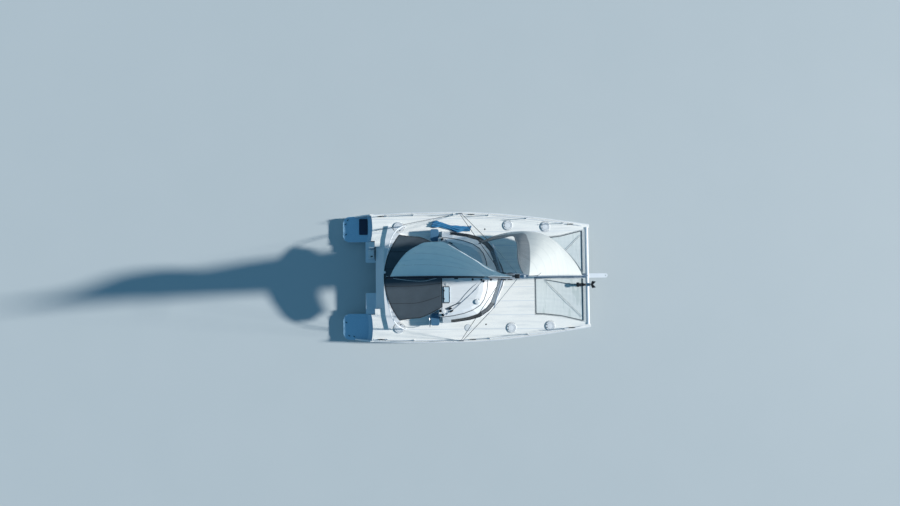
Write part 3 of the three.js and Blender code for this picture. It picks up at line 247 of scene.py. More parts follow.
ANODISED = hard("anodised_aluminium", "#B9C2CE", "#9DA8B6", 0.36, 0.85, 700, 2.5, 0.05)
PAINTED_ALUMINIUM = hard("white_coated_aluminium", "#EDEFF1", "#D5DBE0", 0.3, 0.0, 500, 4, 0.05)
STAINLESS = hard("polished_stainless_steel", "#D9DCE0", "#B4BAC2", 0.14, 1.0, 120, 3, 0.02)
BRONZE = hard("cast_bronze", "#B08A4C", "#6E5230", 0.34, 1.0, 60, 3, 0.2)
GALVANISED = hard("galvanised_chain_steel", "#9A9FA3", "#6D7377", 0.5, 0.9, 30, 2, 0.2)
BLACK_PLASTIC = hard("black_nylon_fitting", "#1B1D20", "#0E0F11", 0.42, 0.0, 90, 1.5, 0.1)
DARK_RUBBER = hard("dark_rubber_seal", "#2A2D31", "#17191C", 0.7, 0.0, 120, 2, 0.15)
NAVY_LID = hard("navy_moulded_lid", "#12284C", "#081730", 0.38, 0.0, 200, 3, 0.2)
ANTIFOULING = hard("rolled_antifouling_paint", "#33465C", "#1E2C3E", 0.8, 0.0, 150, 8, 0.6)
GREY_MOULDING = hard("grey_nonslip_moulding", "#D6E2EA", "#C2D1DC", 0.55, 0.0, 220, 14, 0.9)
DARK_MOULDING = hard("dark_grey_moulded_band", "#565B60", "#45494E", 0.3, 0.0, 300, 20, 0.1)
# The seat lockers and the helm console get a steel blue tone that is painted shade under the canopy's edge.
SHADE_BLUE_MOULDING = hard("moulding_painted_blue_shade", "#4C7696", "#3E6684", 0.45, 0.0, 200, 12, 0.3)
DARK_ANODISED = hard("dark_anodised_aluminium", "#1C2C3E", "#111D2B", 0.4, 0.6, 500, 2.5, 0.05)
WHITE_PLASTIC = hard("white_moulded_plastic", "#DDE1E3", "#CDD3D6", 0.4, 0.0, 120, 2, 0.1)
GREY_PLASTIC = hard("grey_moulded_plastic", "#9AA1A8", "#868E96", 0.45, 0.0, 120, 2, 0.1)


def tinted_acrylic(name, tint, roughness, mirror=0.0, coat=0.8, level=0.5):
    base = Finish(name, tint, tint, roughness, mirror, 300, 60, 0.15)
    return base.finished({
        "IOR": 1.49, "Coat Weight": coat, "Coat Roughness": 0.05, "Specular IOR Level": level,
    })


WINDOW_ACRYLIC = tinted_acrylic("smoked_acrylic_window", "#626E78", 0.26, 0.35)
HATCH_ACRYLIC = tinted_acrylic("blue_tinted_acrylic_hatch", "#BAD2DF", 0.1)
# The steep side windows mirror a dark sea in the picture. The pale floor would turn them grey, so they
# mirror less than real acrylic does.
# Their dark tint is a painted reflection of that sea.
SIDE_ACRYLIC = tinted_acrylic("acrylic_side_window_painted_dark_reflection", "#23292E", 0.3, coat=0.0, level=0.1)

# %% [markdown]
# ### Cloth
# Sailcloth, canvas, netting and towelling share a weave: two sets of threads at right angles that go
# over and under each other. The pattern follows the cloth through its own UV map, laid out in metres.
# Real threads are under a millimetre apart, and here they are drawn as coarse as the picture needs.

# %% Woven cloth
FULL_TURN = 6.2832


def woven_cloth(name, light, dark, thread_mm, roughness, sheen):
    base = Finish(name, light, dark, roughness, 0.0, 350, 18, 0.6)
    base.cloth = base.add("UVMap", uv_map="cloth").outputs[0]
    threads = {"Vector": base.cloth, "Scale": 1000 / thread_mm / FULL_TURN}
    base.over = base.times(*[
        base.add("TexWave", threads, bands_direction=axis).outputs["Fac"] for axis in "XY"
    ])
    base.relief(base.over, thread_mm / 4000, 0.5)
    base.finished({"Sheen Weight": sheen, "Sheen Roughness": 0.5})
    return base


CANVAS = woven_cloth("charcoal_acrylic_canvas", "#45515A", "#364149", 6, 0.9, 0.1).material
CANVAS_BINDING = woven_cloth("canvas_binding_tape", "#272E34", "#1B2126", 5, 0.9, 0.1).material
WEBBING = woven_cloth("white_polyester_webbing", "#E4E8E8", "#CDD3D4", 5, 0.8, 0.1).material
TOWELLING = woven_cloth("blue_towelling_cloth", "#2587B8", "#0E4672", 7, 0.95, 0.3).material

# %% [markdown]
# Sailcloth is woven polyester, cut in panels that are sewn edge to edge, which shows as darker strips.
# The genoa also has grey cloth along its leech and its foot, so that the sun cannot reach the white
# cloth when the sail is rolled up. The map holds the distance from the leech and the height above the
# foot.


# %% Sailcloth with sewn panels
def sailcloth(name, light, dark, seam, panel_m, strip_m=0.0, glow=0.0):
    base = woven_cloth(name, light, dark, 9, 0.6, 0.1)
    from_leech, from_foot, _none = base.split(base.cloth)
    wander = base.noise(base.cloth, Scale=0.6, Detail=3.0)
    saw = base.work("PINGPONG", base.work("ADD", from_foot, base.times(wander, 0.12)), panel_m / 2)
    colour = base.mix(base.times(base.below(saw, 0.016, 0.008), 0.75), base.colour, seam)
    folds = base.noise(base.cloth, Scale=1.3, Detail=2.0, Distortion=1.2)
    if strip_m:
        foot_wider_and_shaded = base.work("MAXIMUM", base.work("SUBTRACT", 4.0, from_foot), 0.0)
        near = base.work("MINIMUM", from_leech, from_foot)
        near = base.work("SUBTRACT", near, base.times(foot_wider_and_shaded, 0.04))
        blotched = base.mix(folds, "#4E5A61", "#707C83")
        # Towards the foot the grey strip also turns dark teal: painted shade.
        blotched = base.mix(base.times(foot_wider_and_shaded, 0.3), blotched, "#1F3740")
        colour = base.mix(base.below(near, strip_m, 0.01), colour, blotched)
    base.relief(folds, 0.05, 0.5)
    return base.finished({"Base Color": colour, "Emission Color": "#EAF6FA", "Emission Strength": glow})


# The mainsail's pale blue-teal tone is painted shade.
PAINTED_SHADE_MAINSAIL_CLOTH = sailcloth("polyester_mainsail_cloth_painted_blue_shade", "#BCDFE6", "#A6CFDA", "#8DB2BE", 0.95)
GENOA_CLOTH = sailcloth("white_polyester_genoa_cloth", "#CED0CC", "#BEC2C0", "#A4AAAA", 1.05, strip_m=0.35)
# Daylight comes through this thin tape, which a little light of its own stands in for.
TAPE_WHITE = sailcloth("white_leech_tape", "#F6F8F8", "#E9EEEF", "#D8DEE0", 0.6, glow=0.3)
TAPE_GREY = sailcloth("grey_leech_tape", "#6B767D", "#5A656C", "#4D575D", 0.6)

# %% [markdown]
# ### Netting and rope
# The trampolines are knotted net, a pale grid with dark gaps. Ropes are braided: small flecks wind
# round them, and the rope's geometry says how far along and how far round each point is.


# %% Net and braided rope
def knotted_net(name, light, dark, mesh_mm):
    base = woven_cloth(name, light, dark, mesh_mm, 0.9, 0.1)
    gaps = base.above(base.over, 0.25, 0.12)
    colour = base.mix(gaps, base.mix(0.25, base.colour, "#8FA3A2"), base.colour)
    folds = base.noise(base.cloth, (2.6, 0.5, 1.0), Scale=1.6, Detail=3.0, Distortion=0.8)
    # Long creases get darker bands of colour: painted shade.
    crease_painted_shade = base.times(base.above(folds, 0.6, 0.05), 0.3)
    return base.finished({"Base Color": base.mix(crease_painted_shade, colour, "#9DAFA9")})


def braided_rope(name, ground, fleck, turns_mm=24):
    base = Finish(name, ground, ground, 0.8, 0.0, 200, 3)
    along = base.add("Attribute", attribute_name="along").outputs["Fac"]
    around = base.add("Attribute", attribute_name="around").outputs["Fac"]
    laid, wound = base.times(along, 1000 / turns_mm), base.times(around, 3.0)
    strands = base.times(*[
        base.work("PINGPONG", base.work(way, laid, wound), 0.5) for way in ("ADD", "SUBTRACT")
    ])
    base.normal = None
    base.relief(strands, 0.0015, 0.8)
    return base.finished({"Base Color": base.mix(base.above(strands, 0.13, 0.03), ground, fleck)})


NET = knotted_net("knotted_polyamide_net", "#E9ECEA", "#DDE2E0", 30)
ROPE_WHITE = braided_rope("white_braided_rope", "#DADCDC", "#8895A3")
ROPE_DARK = braided_rope("dark_braided_rope", "#3C4650", "#7D8B97")
ROPE_BLUE = braided_rope("blue_flecked_rope", "#7E98B5", "#E3E6E8")
WIRE = braided_rope("stranded_steel_wire", "#6E767E", "#4A5159", 10)

# %% [markdown]
# ## Finishes for the CAD solids
# A solid whose shape is already right only changes its material. The table pairs each finish with the
# start of the names that it belongs to.

# %% Dress the CAD nodes
SOLID_FINISHES = [
    (HULL_GELCOAT, "hull_ bridge_deck"),
    (ROOF_GELCOAT, "cabin"),
    (SMOOTH_GELCOAT, "hatch_ locker_lid_ aft_coaming cockpit_settee canister"),
    (SHADE_BLUE_MOULDING, "seat_locker helm_console"),
    (SIDE_ACRYLIC, "window_port window_starboard"),
    (WINDOW_ACRYLIC, "window_ companionway_door"),
    (HATCH_ACRYLIC, "roof_hatch_"),
    (DARK_ANODISED, "boom"),
    (ANODISED, "mast spreaders centre_spar door_track forestay canopy_bow"),
    (PAINTED_ALUMINIUM, "aft_arch bow_crossbeam guard_rail_ bowsprit"),
    (WHITE_PLASTIC, "roof_vent"),
    (WIRE, "shrouds_"),
    (STAINLESS, "helm_wheel winches_ anchor_roller"),
    (BRONZE, "propeller_"),
    (ANTIFOULING, "keel_ rudder_"),
    (GREY_MOULDING, "engine_leg_ aft_platform_"),
    (BLACK_PLASTIC, "anchor"),
    (NAVY_LID, "stern_lid_port"),
]
dressed = set()
for finish, starts in SOLID_FINISHES:
    for node_name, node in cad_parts.items():
        if node_name not in dressed and node_name.startswith(tuple(starts.split())):
            dressed.add(node_name)
            node.data.materials.clear()
            node.data.materials.append(finish)
print("dressed", len(dressed), "of", len(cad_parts), "solids")

# %% [markdown]
# ## Making pieces
# One helper turns a list of points and a list of faces into a piece and says which moving body carries
# it. Everything stays at the origin, unturned, so that a pattern in object coordinates never slides.


# %% Mesh pieces
def placed(name, data, body=None):
    """Puts data in the scene as an object. A piece also rides on a body."""
    obj = bpy.data.objects.new(name, data)
    bpy.context.scene.collection.objects.link(obj)
    if body:
        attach(obj, body)
    return obj


def made(name, points, faces, material, body="boat", slot=None, cloth_map=None):
    mesh = bpy.data.meshes.new(name)
    mesh.from_pydata([tuple(p) for p in points], [], faces)
    if cloth_map:
        layer = mesh.uv_layers.new(name="cloth")
        for loop in mesh.loops:
            layer.data[loop.index].uv = cloth_map[loop.vertex_index]
    mesh.materials.append(material)
    mesh.update()
    mesh.validate()
    mesh.shade_smooth()
    return placed(name, mesh, body)


def grid_faces(rows, columns, closed=False):
    """Quads over rows x columns points. A closed grid also joins its last column to its first."""
    wide = columns if closed else columns - 1
    quads = []
    for r in range(rows - 1):
        low, high = r * columns, (r + 1) * columns
        for c in range(wide):
            ahead = (c + 1) % columns
            quads.append((low + c, low + ahead, high + ahead, high + c))
    return quads


def thickened(obj, thick, offset=0.0):
    """Gives a sheet its real thickness."""
    solidify = obj.modifiers.new("thickness", "SOLIDIFY")
    solidify.thickness = thick
    solidify.offset = offset


def between(a, b, share):
    return a + (b - a) * share


def table_at(rows, column, key_value):
    """Reads a column of a table at any key, straight between its rows."""
    if key_value <= rows[0][0]:
        return rows[0][column]
    for low, high in zip(rows, rows[1:]):
        if key_value <= high[0]:
            return between(low[column], high[column], (key_value - low[0]) / (high[0] - low[0]))
    return rows[-1][column]


DECK_HIGH, DECK_RISE = 1.380, 0.026


def deck_z(x):
    return DECK_HIGH + DECK_RISE * x


# The hull's plan: place, outer sheer and inner side.
SHEER = [
    (-5.6, 2.840, 1.660), (-4.8, 2.862, 1.660), (-4.03, 2.875, 1.660), (-2.7, 2.935, 1.665),
    (-1.0, 2.948, 1.675), (0.3, 2.928, 1.690), (1.5, 2.850, 1.705), (2.5, 2.745, 1.715),
    (3.5, 2.620, 1.740), (4.3, 2.500, 1.830), (5.0, 2.395, 2.000), (5.4, 2.333, 2.090), (5.6, 2.300, 2.150),
]
RAIL_INSET = 0.128

# %% [markdown]
# ## Lines and wires by Geometry Nodes
# A rope is a round section carried along a path, which is what Curve to Mesh does. The tree is built
# once, and it stores how far along and around each point lies, for the braid.


# %% A tree that carries a round section along a path
class Recipe:
    """A geometry tree with its inputs by name. Its last steps are the same for lines and fittings."""

    def __init__(self, name, **sockets):
        self.tree = bpy.data.node_groups.new(name, "GeometryNodeTree")
        for socket, kind in {"Geometry": "Geometry", **sockets}.items():
            self.tree.interface.new_socket(socket, in_out="INPUT", socket_type="NodeSocket" + kind)
        self.tree.interface.new_socket("Geometry", in_out="OUTPUT", socket_type="NodeSocketGeometry")
        self.given = put(self.tree, "NodeGroupInput").outputs

    def add(self, kind, inputs=None, **settings):
        return put(self.tree, "GeometryNode" + kind, inputs, **settings).outputs

    def marked(self, curve, name, fact):
        """Stores a fact of the spline on its points."""
        facts = {"Geometry": curve, "Name": name, "Value": self.add("SplineParameter")[fact]}
        return self.add("StoreNamedAttribute", facts, data_type="FLOAT", domain="POINT")[0]

    def finished(self, geometry):
        real = self.add("RealizeInstances", {0: geometry})[0]
        painted = self.add("SetMaterial", {0: real, "Material": self.given["Finish"]})[0]
        put(self.tree, "NodeGroupOutput", {"Geometry": painted})
        return self.tree


def rope_tree():
    recipe = Recipe("round_line_on_path", Radius="Float", Sides="Int", Finish="Material")
    given = recipe.given
    ring = recipe.add("CurvePrimitiveCircle", {"Resolution": given["Sides"], "Radius": given["Radius"]})
    swept = recipe.add("CurveToMesh", {
        "Curve": recipe.marked(given["Geometry"], "along", "Length"),
        "Profile Curve": recipe.marked(ring["Curve"], "around", "Factor"), "Fill Caps": True,
    })
    return recipe.finished(recipe.add("SetShadeSmooth", {0: swept[0]})[0])


ROPE_TREE = rope_tree()


def baked(obj, name, body, slot, tree, **given):
    """Runs a tree on an object and keeps the result as a plain piece, with the object removed."""
    modifier = obj.modifiers.new("tree", "NODES")
    modifier.node_group = tree
    for item in tree.interface.items_tree:
        if item.in_out == "INPUT" and item.name in given:
            modifier[item.identifier] = given[item.name]
    evaluated = obj.evaluated_get(bpy.context.evaluated_depsgraph_get())
    mesh = bpy.data.meshes.new_from_object(evaluated)
    mesh.name = name
    bpy.data.objects.remove(obj)
    return placed(name, mesh, body)


def lines(name, paths, radius, material, body="boat", slot=None, sides=8, smooth=True):
    """Round lines along several paths, as one piece."""
    curve = bpy.data.curves.new(name + "_path", "CURVE")
    curve.dimensions = "3D"
    curve.resolution_u = 6
    for path in paths:
        spline = curve.splines.new("NURBS" if smooth and len(path) > 2 else "POLY")
        spline.points.add(len(path) - 1)
        for point, place in zip(spline.points, path):
            point.co = (*place, 1.0)
        if spline.type == "NURBS":
            spline.order_u = 3
            spline.use_endpoint_u = True
    obj = placed(name + "_path", curve)
    return baked(obj, name, body, slot, ROPE_TREE, Radius=radius, Sides=sides, Finish=material)


def thin_lines(name, paths, radius, material, body="boat", slot=None):
    """Lines too thin to show more than six sides, straight between their points."""
    return lines(name, paths, radius, material, body, slot, sides=6, smooth=False)


# %% [markdown]
# ## Small repeated fittings by Geometry Nodes
# Latches, cleats, clutches and blocks are one small shape set down many times. The places are the points
# of a plain mesh, and a second tree puts a copy of the shape on each of them, turned as it asks.


# %% A tree that sets a fitting on every point
def fitting_tree():
    recipe = Recipe("fitting_on_points", Fitting="Object", Finish="Material")
    copies = recipe.add("InstanceOnPoints", {
        "Points": recipe.given["Geometry"],
        "Instance": recipe.add("ObjectInfo", {"Object": recipe.given["Fitting"]})["Geometry"],
        "Rotation": recipe.add("InputNamedAttribute", {"Name": "turn"}, data_type="FLOAT_VECTOR")[0],
    })
    return recipe.finished(copies[0])


FITTING_TREE = fitting_tree()


def fittings(name, shape, places, material, body="boat"):
    """Copies of a shape, given as points and faces. Each place is a point and a turn about X, Y and Z."""
    pattern = made(name + "_pattern", *shape, material, None)
    obj = made(name + "_places", [place for place, _turn in places], [], material, None)
    turns = obj.data.attributes.new("turn", "FLOAT_VECTOR", "POINT")
    for item, (_place, turn) in zip(turns.data, places):
        item.vector = tuple(turn)
    baked(obj, name, body, None, FITTING_TREE, Fitting=pattern, Finish=material)
    bpy.data.objects.remove(pattern)


def lathe(profile, sides=12):
    """Points and faces of a turned shape from (radius, height) pairs that start and end on the axis."""
    turns = [2 * math.pi * i / sides for i in range(sides)]
    points = [(0, 0, profile[0][1])]
    for r, z in profile[1:-1]:
        points += [(r * math.cos(a), r * math.sin(a), z) for a in turns]
    last = len(points)
    faces = [(0, 1 + (i + 1) % sides, 1 + i) for i in range(sides)]
    faces += [tuple(1 + i for i in face) for face in grid_faces(len(profile) - 2, sides, closed=True)]
    faces += [(last - sides + i, last - sides + (i + 1) % sides, last) for i in range(sides)]
    return points + [(0, 0, profile[-1][1])], faces


# %% [markdown]
# ## Sails
# A sail is described level by level: where its leech stands, how high, and how far the wind pushes its
# middle out. A smooth curve runs through the levels, and each level is an arc from luff to leech. One
# class keeps the shape as a function of two shares, so that tapes can be laid exactly on the cloth.


# %% The surface of a sail
def through(values, t):
    """A smooth curve through evenly numbered values, at t from 0 to 1."""
    place = min(max(t, 0.0), 1.0) * (len(values) - 1)
    i = min(int(place), len(values) - 2)
    s = place - i
    p0, p1, p2, p3 = (values[min(max(k, 0), len(values) - 1)] for k in (i - 1, i, i + 1, i + 2))
    square, cube = 2 * p0 - 5 * p1 + 4 * p2 - p3, 3 * p1 - p0 - 3 * p2 + p3
    return 0.5 * (2 * p1 + (p2 - p0) * s + square * s * s + cube * s ** 3)


def flat_band(surface, normal, path, section, half, lift):
    """A band along a path on a surface, whose section is given as shares of its half width and lift."""
    points = []
    for i, place in enumerate(path):
        n = normal(*place)
        along = surface(*path[min(i + 1, len(path) - 1)]) - surface(*path[max(i - 1, 0)])
        across = along.cross(n).normalized()
        points += [surface(*place) + across * half * w + n * lift * h for w, h in section]
    end = len(points) - len(section)
    faces = grid_faces(len(path), len(section), closed=True)
    return points, faces + [tuple(range(len(section)))[::-1], tuple(range(end, len(points)))]


class Sail:
    def __init__(self, luff, leech, belly, ripple):
        self.luff = luff
        self.leech = leech
        self.belly = belly
        self.ripple = ripple

    def point(self, u, v):
        """The cloth's point at a share u from luff to leech and a share v from foot to head."""
        a = Vector([through([p[k] for p in self.luff], v) for k in range(3)])
        b = Vector([through([p[k] for p in self.leech], v) for k in range(3)])
        run = b - a
        length = math.hypot(run.x, run.y)
        push = through(self.belly, v) * math.sin(math.pi * u) ** 0.8
        out = Vector((run.y, -run.x, 0)) / length
        return a + run * u + out * (push + self.ripple(u, v))

    def normal(self, u, v):
        step = 0.004
        du = self.point(min(u + step, 1), v) - self.point(max(u - step, 0), v)
        dv = self.point(u, min(v + step, 1)) - self.point(u, max(v - step, 0))
        return du.cross(dv).normalized()

    def sheet(self, name, columns, rows, material, body, slot):
        """The cloth as a grid, with its map in metres from the leech and from the foot."""
        points, cloth_map = [], []
        for v in evenly(rows):
            line = [self.point(u, v) for u in evenly(columns)]
            girth = sum((b - a).length for a, b in zip(line, line[1:]))
            cloth_map += [(girth * (1 - u), line[0].z - self.luff[0][2]) for u in evenly(columns)]
            points += line
        return made(name, points, grid_faces(rows, columns), material, body, slot, cloth_map=cloth_map)

    def strip(self, path, half, lift, side=1):
        """A flat band laid on the cloth along (u, v) shares, with a rounded section."""
        section = [(-1, 0.1), (-0.75, 1.0), (0.75, 1.0), (1, 0.1), (0.8, -0.4), (-0.8, -0.4)]
        return flat_band(self.point, lambda u, v: self.normal(u, v) * side, path, section, half, lift)


def joined(name, parts, material, body="boat", slot=None):
    """Several point and face lists as one piece."""
    points, faces = [], []
    for part_points, part_faces in parts:
        faces += [tuple(i + len(points) for i in face) for face in part_faces]
        points += part_points
    return made(name, points, faces, material, body, slot)


def evenly(count):
    return [i / (count - 1) for i in range(count)]


# %% [markdown]
# The mainsail stands on the boom, with its luff in slides on the mast. Full-length battens hold its
# shape: between them the leech hollows a little and the cloth shows a soft ripple.

# %% Mainsail
MAIN_LEECH = [
    (-3.08, 0.04, 3.9886), (-2.75, 0.47, 5.0), (-2.25, 0.93, 6.0), (-1.71, 1.17, 7.0), (-1.24, 1.20, 8.0),
    (-0.76, 1.08, 9.0), (-0.08, 0.61, 10.3), (0.42, 0.22, 11.6), (0.80, 0.02, 12.9),
]
MAIN_BELLY = [0.03, 0.26, 0.33, 0.30, 0.13, 0.02, 0.01, 0.01, 0.005]
MAIN_LUFF = [(0.939 if z < 12.5 else 0.947, 0.0, z) for _x, _y, z in MAIN_LEECH]
BATTENS = [0.16, 0.33, 0.5, 0.67, 0.83]
SAIL_THICK = 0.006
TAPE_LIFT = 0.009
PATCH_LIFT = 0.008


def main_ripple(u, v):
    """Shallow waves between the battens, strongest near the leech and gone at the luff and the foot."""
    wave = math.sin(v * 34) * 0.010 * u * u + math.sin(v * 61 + u * 9) * 0.004
    return wave * math.sin(math.pi * min(v * 1.02, 1)) * math.sin(math.pi * min(u + 0.15, 1) * 0.5)


MAIN = Sail(MAIN_LUFF, MAIN_LEECH, MAIN_BELLY, main_ripple)
mainsail = MAIN.sheet("mainsail_cloth", 37, 91, PAINTED_SHADE_MAINSAIL_CLOTH, "boom", "mainsail_cloth")
thickened(mainsail, SAIL_THICK)
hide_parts("mainsail")

batten_pockets = joined("mainsail_batten_pockets", [
    MAIN.strip([(0.01 + 0.985 * t, v) for t in evenly(25)], 0.035, TAPE_LIFT, side)
    for v in BATTENS for side in (1, -1)
], PAINTED_SHADE_MAINSAIL_CLOTH, "boom", "mainsail_cloth")
leech_tape = joined("mainsail_leech_tape", [
    MAIN.strip([(0.991, 0.64 + 0.27 * t) for t in evenly(40)], 0.05, TAPE_LIFT, side) for side in (1, -1)
], TAPE_WHITE, "boom", "mainsail_cloth")
luff_rope = joined("mainsail_luff_rope", [
    MAIN.strip([(0.008, 0.01 + 0.975 * t) for t in evenly(50)], 0.02, TAPE_LIFT, side) for side in (1, -1)
], TAPE_WHITE, "boom", "mainsail_cloth")
REEF_SPOTS = [((u - 0.012, u, u + 0.012), 0.05) for u in (0.18, 0.34, 0.5, 0.66, 0.82)]
REEF_SPOTS += [((0.90, 0.95, 0.99), 0.12), ((0.012, 0.05, 0.09), 0.10)]
reef_patches = joined("mainsail_reef_patches", [
    MAIN.strip([(u, v) for u in spots], half, PATCH_LIFT, side)
    for v in (0.115, 0.235) for spots, half in REEF_SPOTS for side in (1, -1)
], PAINTED_SHADE_MAINSAIL_CLOTH, "boom", "mainsail_cloth")
print("mainsail battens", len(BATTENS))

# %% [markdown]
# The genoa is set on the forestay and sheeted to port. It is much fuller than the mainsail, and its
# leech curls a little.

# %% Genoa
STAY_FOOT = Vector((5.35, 0.0, 1.56))
STAY_TOP = Vector((1.09, 0.0, 13.4))


def on_stay(z):
    return STAY_FOOT.lerp(STAY_TOP, (z - STAY_FOOT.z) / (STAY_TOP.z - STAY_FOOT.z))


GENOA_LEVELS = [
    (1.96, (0.55, 1.39, 2.6), 1.18), (3.4, (0.95, 1.45, 3.6), 1.08), (4.9, (1.23, 1.47, 4.6), 0.96),
    (6.8, (1.59, 1.45, 6.6), 0.76), (8.4, (1.56, 1.20, 8.2), 0.56), (10.1, (1.41, 0.82, 10.0), 0.34),
    (11.9, (1.23, 0.38, 11.85), 0.12), (13.1, (1.20, 0.09, 13.08), 0.015),
]


def genoa_ripple(u, v):
    wave = math.sin(v * 29 + 1.0) * 0.012 * u ** 3 + math.sin(u * 15 + v * 7) * 0.006
    return wave * math.sin(math.pi * v)


GENOA_LUFF = [tuple(on_stay(z)) for z, _leech, _belly in GENOA_LEVELS]
GENOA_LEECH = [leech for _z, leech, _belly in GENOA_LEVELS]
GENOA = Sail(GENOA_LUFF, GENOA_LEECH, [belly for _z, _leech, belly in GENOA_LEVELS], genoa_ripple)
genoa = GENOA.sheet("genoa_cloth", 45, 91, GENOA_CLOTH, "boat", "genoa_cloth")
thickened(genoa, SAIL_THICK)
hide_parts("genoa")
genoa_tapes = joined("genoa_edge_tapes", [
    GENOA.strip(path, 0.022, PATCH_LIFT, side) for side in (1, -1) for path in (
        [(0.994, 0.004 + 0.985 * t) for t in evenly(60)], [(0.01 + 0.98 * t, 0.003) for t in evenly(40)])
], TAPE_GREY, "boat", "genoa_cloth")

# %% [markdown]
# ## Canopy
# The canopy is one sheet of canvas stretched between the aft arch and the forward bow. Its free sides
# are hollow, and it sags slightly in the middle. Its forward corners are cut away, which leaves the
# winches and the helm open to the sky. Its aft edge is rounder than the arch, and short lashings fill
# the difference. It is sewn from five strips, with a seam between them and a bound edge.

# %% Canopy
CANOPY_HALF = 1.8
CANOPY_CORNER = 0.56
CANOPY_AFT, CANOPY_FORE = -3.39, -0.985
CANOPY_ROUND = 5.4
CANOPY_TOP, CANOPY_FALL = 3.414, 0.4


def canopy_point(u, w):
    """u runs forward from the arch to the bow and w across from starboard (-1) to port (1)."""
    cut_away = min(max((u - 0.45) / 0.55, 0.0), 1.0) ** 1.5
    y = (CANOPY_HALF - CANOPY_CORNER * cut_away) * w
    free = abs(w) ** 10
    aft = CANOPY_AFT + y * y / CANOPY_ROUND
    held = math.sin(math.pi * u)
    y -= math.copysign(0.10 * free * held, y)
    z = CANOPY_TOP - CANOPY_FALL * (y / CANOPY_HALF) ** 2
    sag = 0.032 * held * (1 - free) + 0.006 * math.sin(11 * w) * held
    return Vector((between(aft, CANOPY_FORE, u), y, z - sag))


CANOPY_ROWS, CANOPY_COLUMNS = 61, 31
canopy_points = [canopy_point(u, 2 * w - 1) for w in evenly(CANOPY_ROWS) for u in evenly(CANOPY_COLUMNS)]
canopy = made("canopy_canvas", canopy_points, grid_faces(CANOPY_ROWS, CANOPY_COLUMNS), CANVAS, "boat",
              "canopy_cloth", cloth_map=[(p.x, p.y * 1.03) for p in canopy_points])
thickened(canopy, 0.004)
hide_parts("canopy")

NEAR = 0.01


def band_on(surface, path, half, lift):
    """A flat band on any surface function of two shares."""
    def normal(u, w):
        forward = surface(u + NEAR, w) - surface(u - NEAR, w)
        return forward.cross(surface(u, w + NEAR) - surface(u, w - NEAR)).normalized()

    section = [(-1, 0.2), (-0.8, 1.0), (0.8, 1.0), (1, 0.2), (0.8, -0.6), (-0.8, -0.6)]
    return flat_band(surface, normal, path, section, half, lift)


canopy_seams = joined("canopy_seams", [
    band_on(canopy_point, [(0.01 + 0.98 * t, w) for t in evenly(24)], 0.012, 0.004)
    for w in (-0.6, -0.2, 0.2, 0.6)
], CANVAS_BINDING, "boat", "canopy_cloth")
canopy_binding = joined("canopy_binding", [
    band_on(canopy_point, [(0.005 + 0.99 * t, w) for t in evenly(30)], 0.02, 0.006) for w in (-0.995, 0.995)
] + [
    band_on(canopy_point, [(u, -0.99 + 1.98 * t) for t in evenly(60)], 0.02, 0.006) for u in (0.006, 0.994)
], CANVAS_BINDING, "boat", "canopy_cloth")

ARCH_AFT, ARCH_ROUND, ARCH_TOP = -3.375, 9.6, 3.385


def arch_point(w):
    """The tube of the aft arch, which the lashings go round."""
    y = w * CANOPY_HALF
    return ARCH_AFT + y ** 2 / ARCH_ROUND, y, ARCH_TOP - CANOPY_FALL * w * w


canopy_lashings = thin_lines("canopy_lashings", [
    [tuple(canopy_point(0.012, w)), arch_point(w)]
    for w in [side * 0.1 * k for side in (1, -1) for k in range(2, 10)]
], 0.005, ROPE_DARK, slot="canopy_cloth")
print("canopy points", len(canopy_points))

# %% [markdown]
# ## Trampolines
# Two nets fill the space between the bows. Each is smaller than its opening, and a cord zigzags between
# the net's edge and the deck to stretch it, which leaves a dark gap all round. A net sags a little and
# shows a few long creases.

# %% Trampolines
NET_AFT, NET_FORE = 3.165, 5.27
NET_INNER, NET_GAP = 0.135, 0.06
NET_COUNT = 41
SPAR_EDGE, AFT_EDGE, BEAM_EDGE = 0.105, 3.116, 5.372
NET_DROP, NET_SAG, LACE_DROP = 0.072, 0.03, 0.062


def net_point(side, u, w):
    x = between(NET_AFT, NET_FORE, u)
    outer = table_at(SHEER, 2, x) - NET_GAP
    slack = math.sin(math.pi * u) * math.sin(math.pi * w)
    crease = 0.006 * math.sin(17 * w + 2.5 * u + side) + 0.004 * math.sin(41 * w - 5 * u)
    z = deck_z(x) - NET_DROP - NET_SAG * slack + crease * slack
    return Vector((x, side * between(NET_INNER, outer, w), z))


def lacing_path(side, edge, count):
    """Places that go to and fro between the net's edge and the frame round it."""
    places = []
    for i in range(count * 2 + 1):
        t = 0.02 + 0.96 * i / (count * 2)
        u, w = edge(t)
        p = net_point(side, u, w)
        if i % 2:
            x, y = p.x, p.y
            if w < 0.01:
                y = side * SPAR_EDGE
            elif w > 0.99:
                y = side * (table_at(SHEER, 2, x) - 0.008)
            elif u < 0.01:
                x = AFT_EDGE
            else:
                x = BEAM_EDGE
            p = Vector((x, y, deck_z(x) - LACE_DROP))
        places.append(p)
    return places


